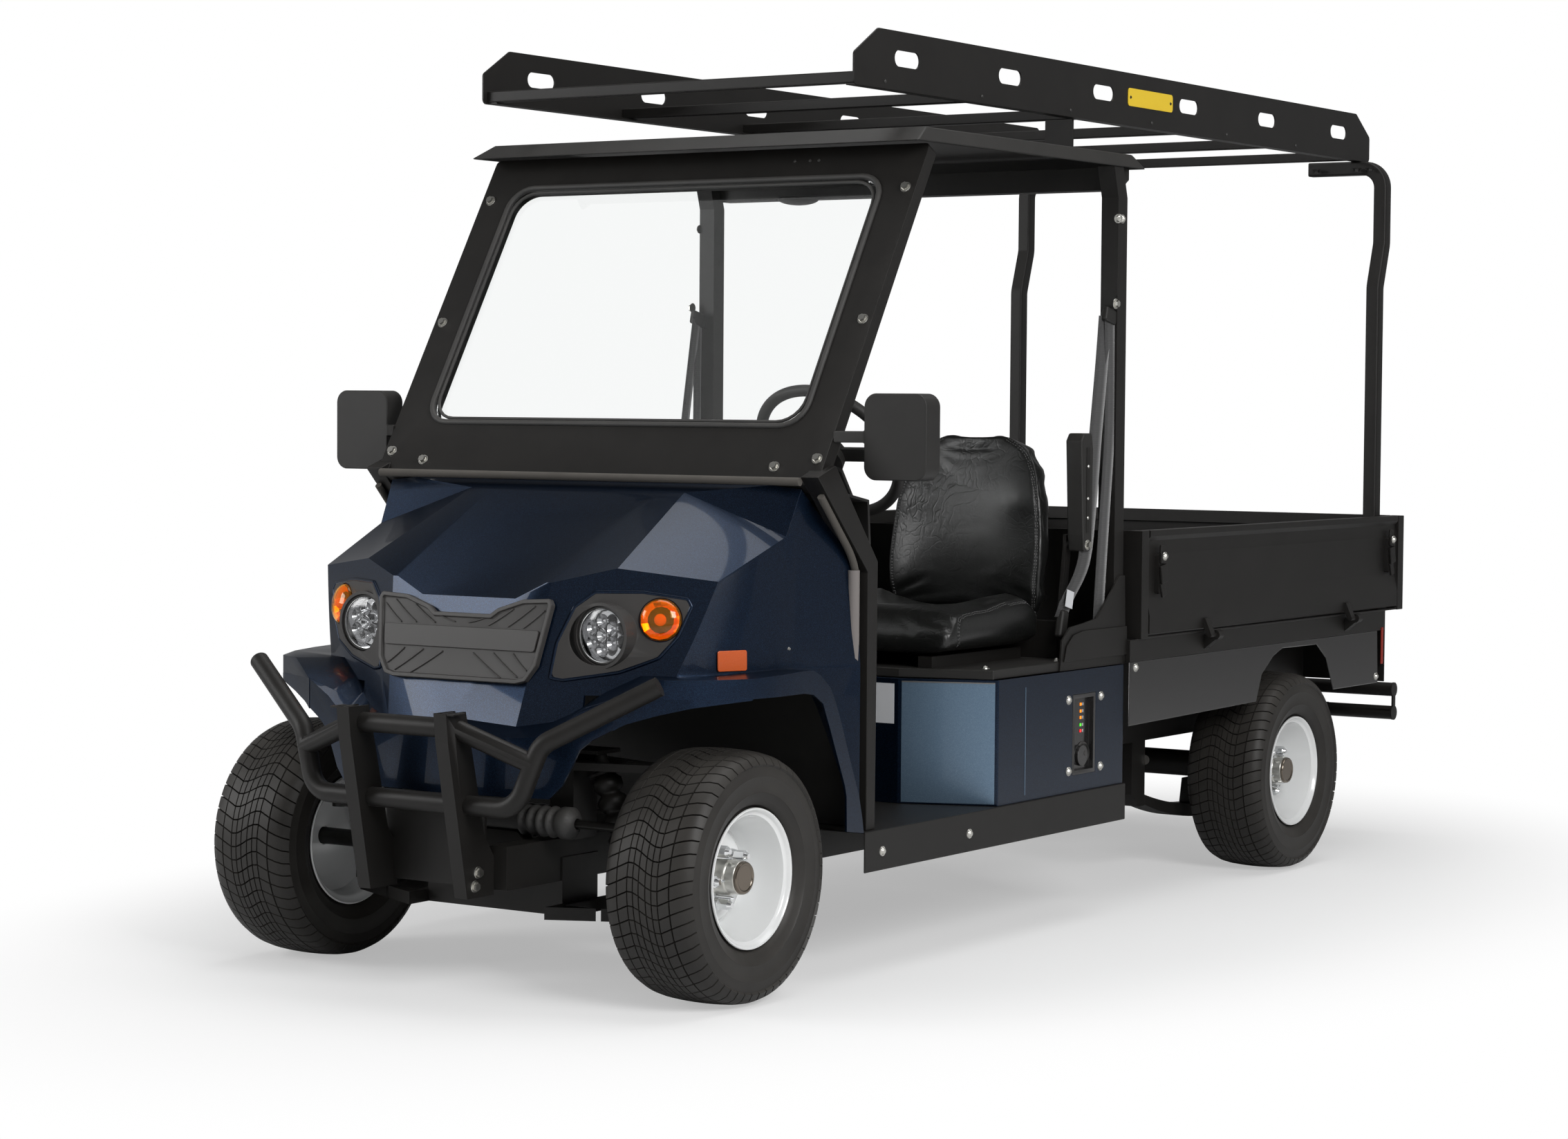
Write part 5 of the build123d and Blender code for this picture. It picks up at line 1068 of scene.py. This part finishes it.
# Seat box: corner panels in a lighter copy of the navy paint, a painted reflection of the key light; bare
# data label, seam and charge socket
box = {"side": 610, "corner": (400, 880), "sideFront": 966, "low": 312, "top": 584, "seam": 1087, "inset": 8}
for side, hand in hands:
    cx, cy = box["corner"]
    along = Vector((box["side"] - cx, box["sideFront"] - cy, 0)).normalized()
    out = Vector((side * along.y, -along.x, 0))
    near = (cx + box["inset"] * along.x, cy + box["inset"] * along.y)
    far = (box["side"] - box["inset"] * along.x, box["sideFront"] - box["inset"] * along.y)
    corners = lineOf(side, ((*near, box["low"]), (*far, box["low"]), (*far, box["top"]), (*near, box["top"])))
    # the corner panel takes the lighter copy of the navy paint: painted reflection of the key light on the
    # slanted corner
    plate(f"cornerPanel_{hand}", corners, 1.0, out, paintedReflectionPaint, 0.6)
    # a bright strip along the corner panel's top edge: painted highlight
    lower = Vector((0, 0, -0.003))
    strip = [corners[3] + lower, corners[2] + lower, corners[2], corners[3]]
    plate(f"cornerEdge_{hand}", strip, 1.8, out, edgeHighlightSteel, 0.4)
    # the seam line in the lighter copy of the navy paint is a painted highlight
    seam = [(box["side"], box["seam"] + k, z) for k, z in ((-1.2, 322), (1.2, 322), (1.2, 566), (-1.2, 566))]
    plate(f"boxSeam_{hand}", lineOf(side, seam), 0.6, (side, 0, 0), paintedReflectionPaint, 0)
label = lineOf(1, ((322, 880, 487), (390, 880, 487), (390, 880, 577), (322, 880, 577)))
plate("dataLabel", label, 0.7, (0, -1, 0), bareLabel, 0)
charge = {"lamps": [(508, "orange"), (492, "orange"), (477, "orange"), (460, "green"), (446, "red")],
          "station": 1366, "marks": 1376, "socket": (1376, 394)}
lampLooks = {"orange": clearFinish("ledOrange", (1.0, 0.28, 0.02), 0.4, 0, 1.45, 0.8),
             "green": clearFinish("ledGreen", (0.1, 0.75, 0.05), 0.4, 0, 1.45, 0.8),
             "red": clearFinish("ledRed", (0.9, 0.03, 0.03), 0.4, 0, 1.45, 0.8)}
faceX = surfaceOf("charge_panel").ray_cast(at(700, charge["station"], 450), Vector((-1, 0, 0)))[0].x * 1000
for number, (z, colour) in enumerate(charge["lamps"]):
    for station, half, look in ((charge["station"], 3.4, lampLooks[colour]),
                                (charge["marks"], 1.3, bareLabel)):
        square = [at(faceX, station + a * half, z + b * 3.4) for a, b in ((-1, -1), (1, -1), (1, 1), (-1, 1))]
        plate(f"chargeLamp_{number}_{colour}_{int(half)}", square, 1.6, (1, 0, 0), look, 0.3)
socketPlace = facingFrame(at(faceX, *charge["socket"]), (1, 0, 0))
for name, radius, depth, look in (("socketFlange", 27, 4, lampPlastic), ("socketRing", 22, 9, grainedPlastic),
                                  ("socketCore", 7, 10, lampPlastic)):
    bm = bmesh.new()
    cone(bm, radius, radius * 0.94, depth, socketPlace @ raised(depth / 2), 40)
    if name == "socketRing":
        cap = [face for face in bm.faces if (face.normal - Vector((1, 0, 0))).length < 0.1]
        bmesh.ops.inset_region(bm, faces=cap, thickness=0.003)
        bmesh.ops.translate(bm, verts=list({v for face in cap for v in face.verts}), vec=(-0.006, 0, 0))
    roundEdges(meshPiece(name, bm, look, 40), 0.8)
print("the front trim and the seat box are dressed")

# Belts: a ribbed run from the guide on the post to the buckle, a second one behind it
belt = {"thickness": 1.6, "front": [(586, 1488, 1412), (588, 1470, 1300), (589, 1440, 1120), (586, 1424, 960),
                                    (578, 1408, 830), (566, 1350, 745), (560, 1338, 712)],
        "rear": [(591, 1500, 1412), (593, 1504, 1250), (593, 1502, 1123), (592, 1484, 940),
                 (590, 1466, 735), (588, 1462, 622)],
        "stem": [(560, 1338, 672), (562, 1350, 634), (562, 1356, 614)]}


def strap(name, line, across, half):
    bm = bmesh.new()
    rows = [[bm.verts.new(place + across * k * half / 1000) for k in (-1, -0.35, 0.35, 1)] for place in line]
    faceRows(bm, rows)
    piece = meshPiece(name, bm, webbing, 40)
    piece.modifiers.new("thickness", "SOLIDIFY").thickness = belt["thickness"] / 1000
    return piece


for side, hand in hands:
    front, rear = [sampled(lineOf(side, belt[run]), 0.02) for run in ("front", "rear")]
    frontStrap = strap(f"beltFront_{hand}", front, Vector((0.18 * side, 0.98, 0)), 23)
    strap(f"beltRear_{hand}", rear, Vector((0.1 * side, 0.99, 0)), 21)
    if side == 1:
        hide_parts("seat_belts")
    for name, size, (x, station, z), look in (("beltGuide", (16, 52, 34), (590, 1500, 1412), grainedPlastic),
                                              ("beltBuckle", (20, 30, 66), (560, 1340, 694), grainedPlastic),
                                              ("beltTag", (1, 34, 40), (574, 1352, 752), bareLabel)):
        block(f"{name}_{hand}", at(side * x, station, z), -14, size, min(size) * 0.35, 3, look)
    tubeAlong(f"buckleStem_{hand}", lineOf(side, belt["stem"]), 6, grainedPlastic)
    sideScrews(f"beltBolt_{hand}", side, [(606, 1500, 1440)], "hex")

    # armrest: foam hood round a steel channel
    armBody = nodes["armrest_" + hand]["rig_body"]
    dressNode("armrest_" + hand, 9, grainedPlastic)
    channel = lineOf(side, ((590.3, 1398, 905), (590.3, 1412, 905), (590.3, 1413, 1104), (590.3, 1397, 1104)))
    plate(f"armrestChannel_{hand}", channel, 0.8, (side, 0, 0), powderCoat, 0.3,
          body=armBody)
    armScrews = [(590.6, 1405, z) for z in (940, 985, 1060)]
    sideScrews(f"armrestScrews_{hand}", side, armScrews, "small", body=armBody)
    sideScrews(f"armrestPivot_{hand}", side, [(589.6, 1406, 877)], "hex", body=armBody)
print("the belts and armrests are dressed")

# Bed: bent paddle latches, studs; rack: bare yellow plate
# each leaf: x, z, width, height
latchLeaves = [(634, 858, 22, 20), (637, 838, 30, 26), (638, 800, 30, 44), (636, 762, 20, 34)]
for side, hand in hands:
    node = "drop_side_" + hand
    body = nodes[node]["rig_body"]
    for number, station in enumerate((1700, 3052)):
        for k, (x, z, wide, tall) in enumerate(latchLeaves):
            block(f"latch_{node}_{number}_{k}", at(side * x, station, z), 10 * (k - 1), (7, wide, tall), 2, 2,
                  powderCoat, body)
        sideScrews(f"latchBolt_{node}_{number}", side, [(641, station, 842)], body=body)
rackPlate = lineOf(1, ((502, 1744, 1925), (502, 1977, 1925), (502, 1977, 1968), (502, 1744, 1968)))
plate("rackPlate", rackPlate, 1.6, (1, 0, 0), yellowPlate, 0.4, 8)
sideScrews("rackPlateScrews", 1, [(503.6, 1756, 1946), (503.6, 1965, 1946)], "small", powderCoat)
rackHoles = [(side, station) for station in range(640, 3100, 410) for side in (1, -1)]
screwsAt("rackEdgeHoles", [(at(side * 502.2, station, 1892), (side, 0, 0)) for side, station in rackHoles],
         "small", bootRubber)
studs = bothSides([(540, 3085, 1856), (500, 3085, 1856), (380, 3085, 1856)])
screwsAt("rackStuds", [(at(*stud), (0, 0, -1)) for stud in studs], "hex", powderCoat)
quarterCorners = [(1268, 612), (1280, 648), (1312, 672), (1360, 680), (1572, 680), (1572, 612)]
for side, hand in hands:
    corners = [at(side * 606, station, z) for station, z in quarterCorners]
    plate(f"quarterPlate_{hand}", corners, 3, (side, 0, 0), powderCoat, 1)
domeLamp = dome(52, 16, 3)
domeLamp.transform(facingFrame(at(-300, 1520, 1709), (0, 0, -1)))
meshPiece("domeLamp", domeLamp, grainedPlastic, 50)
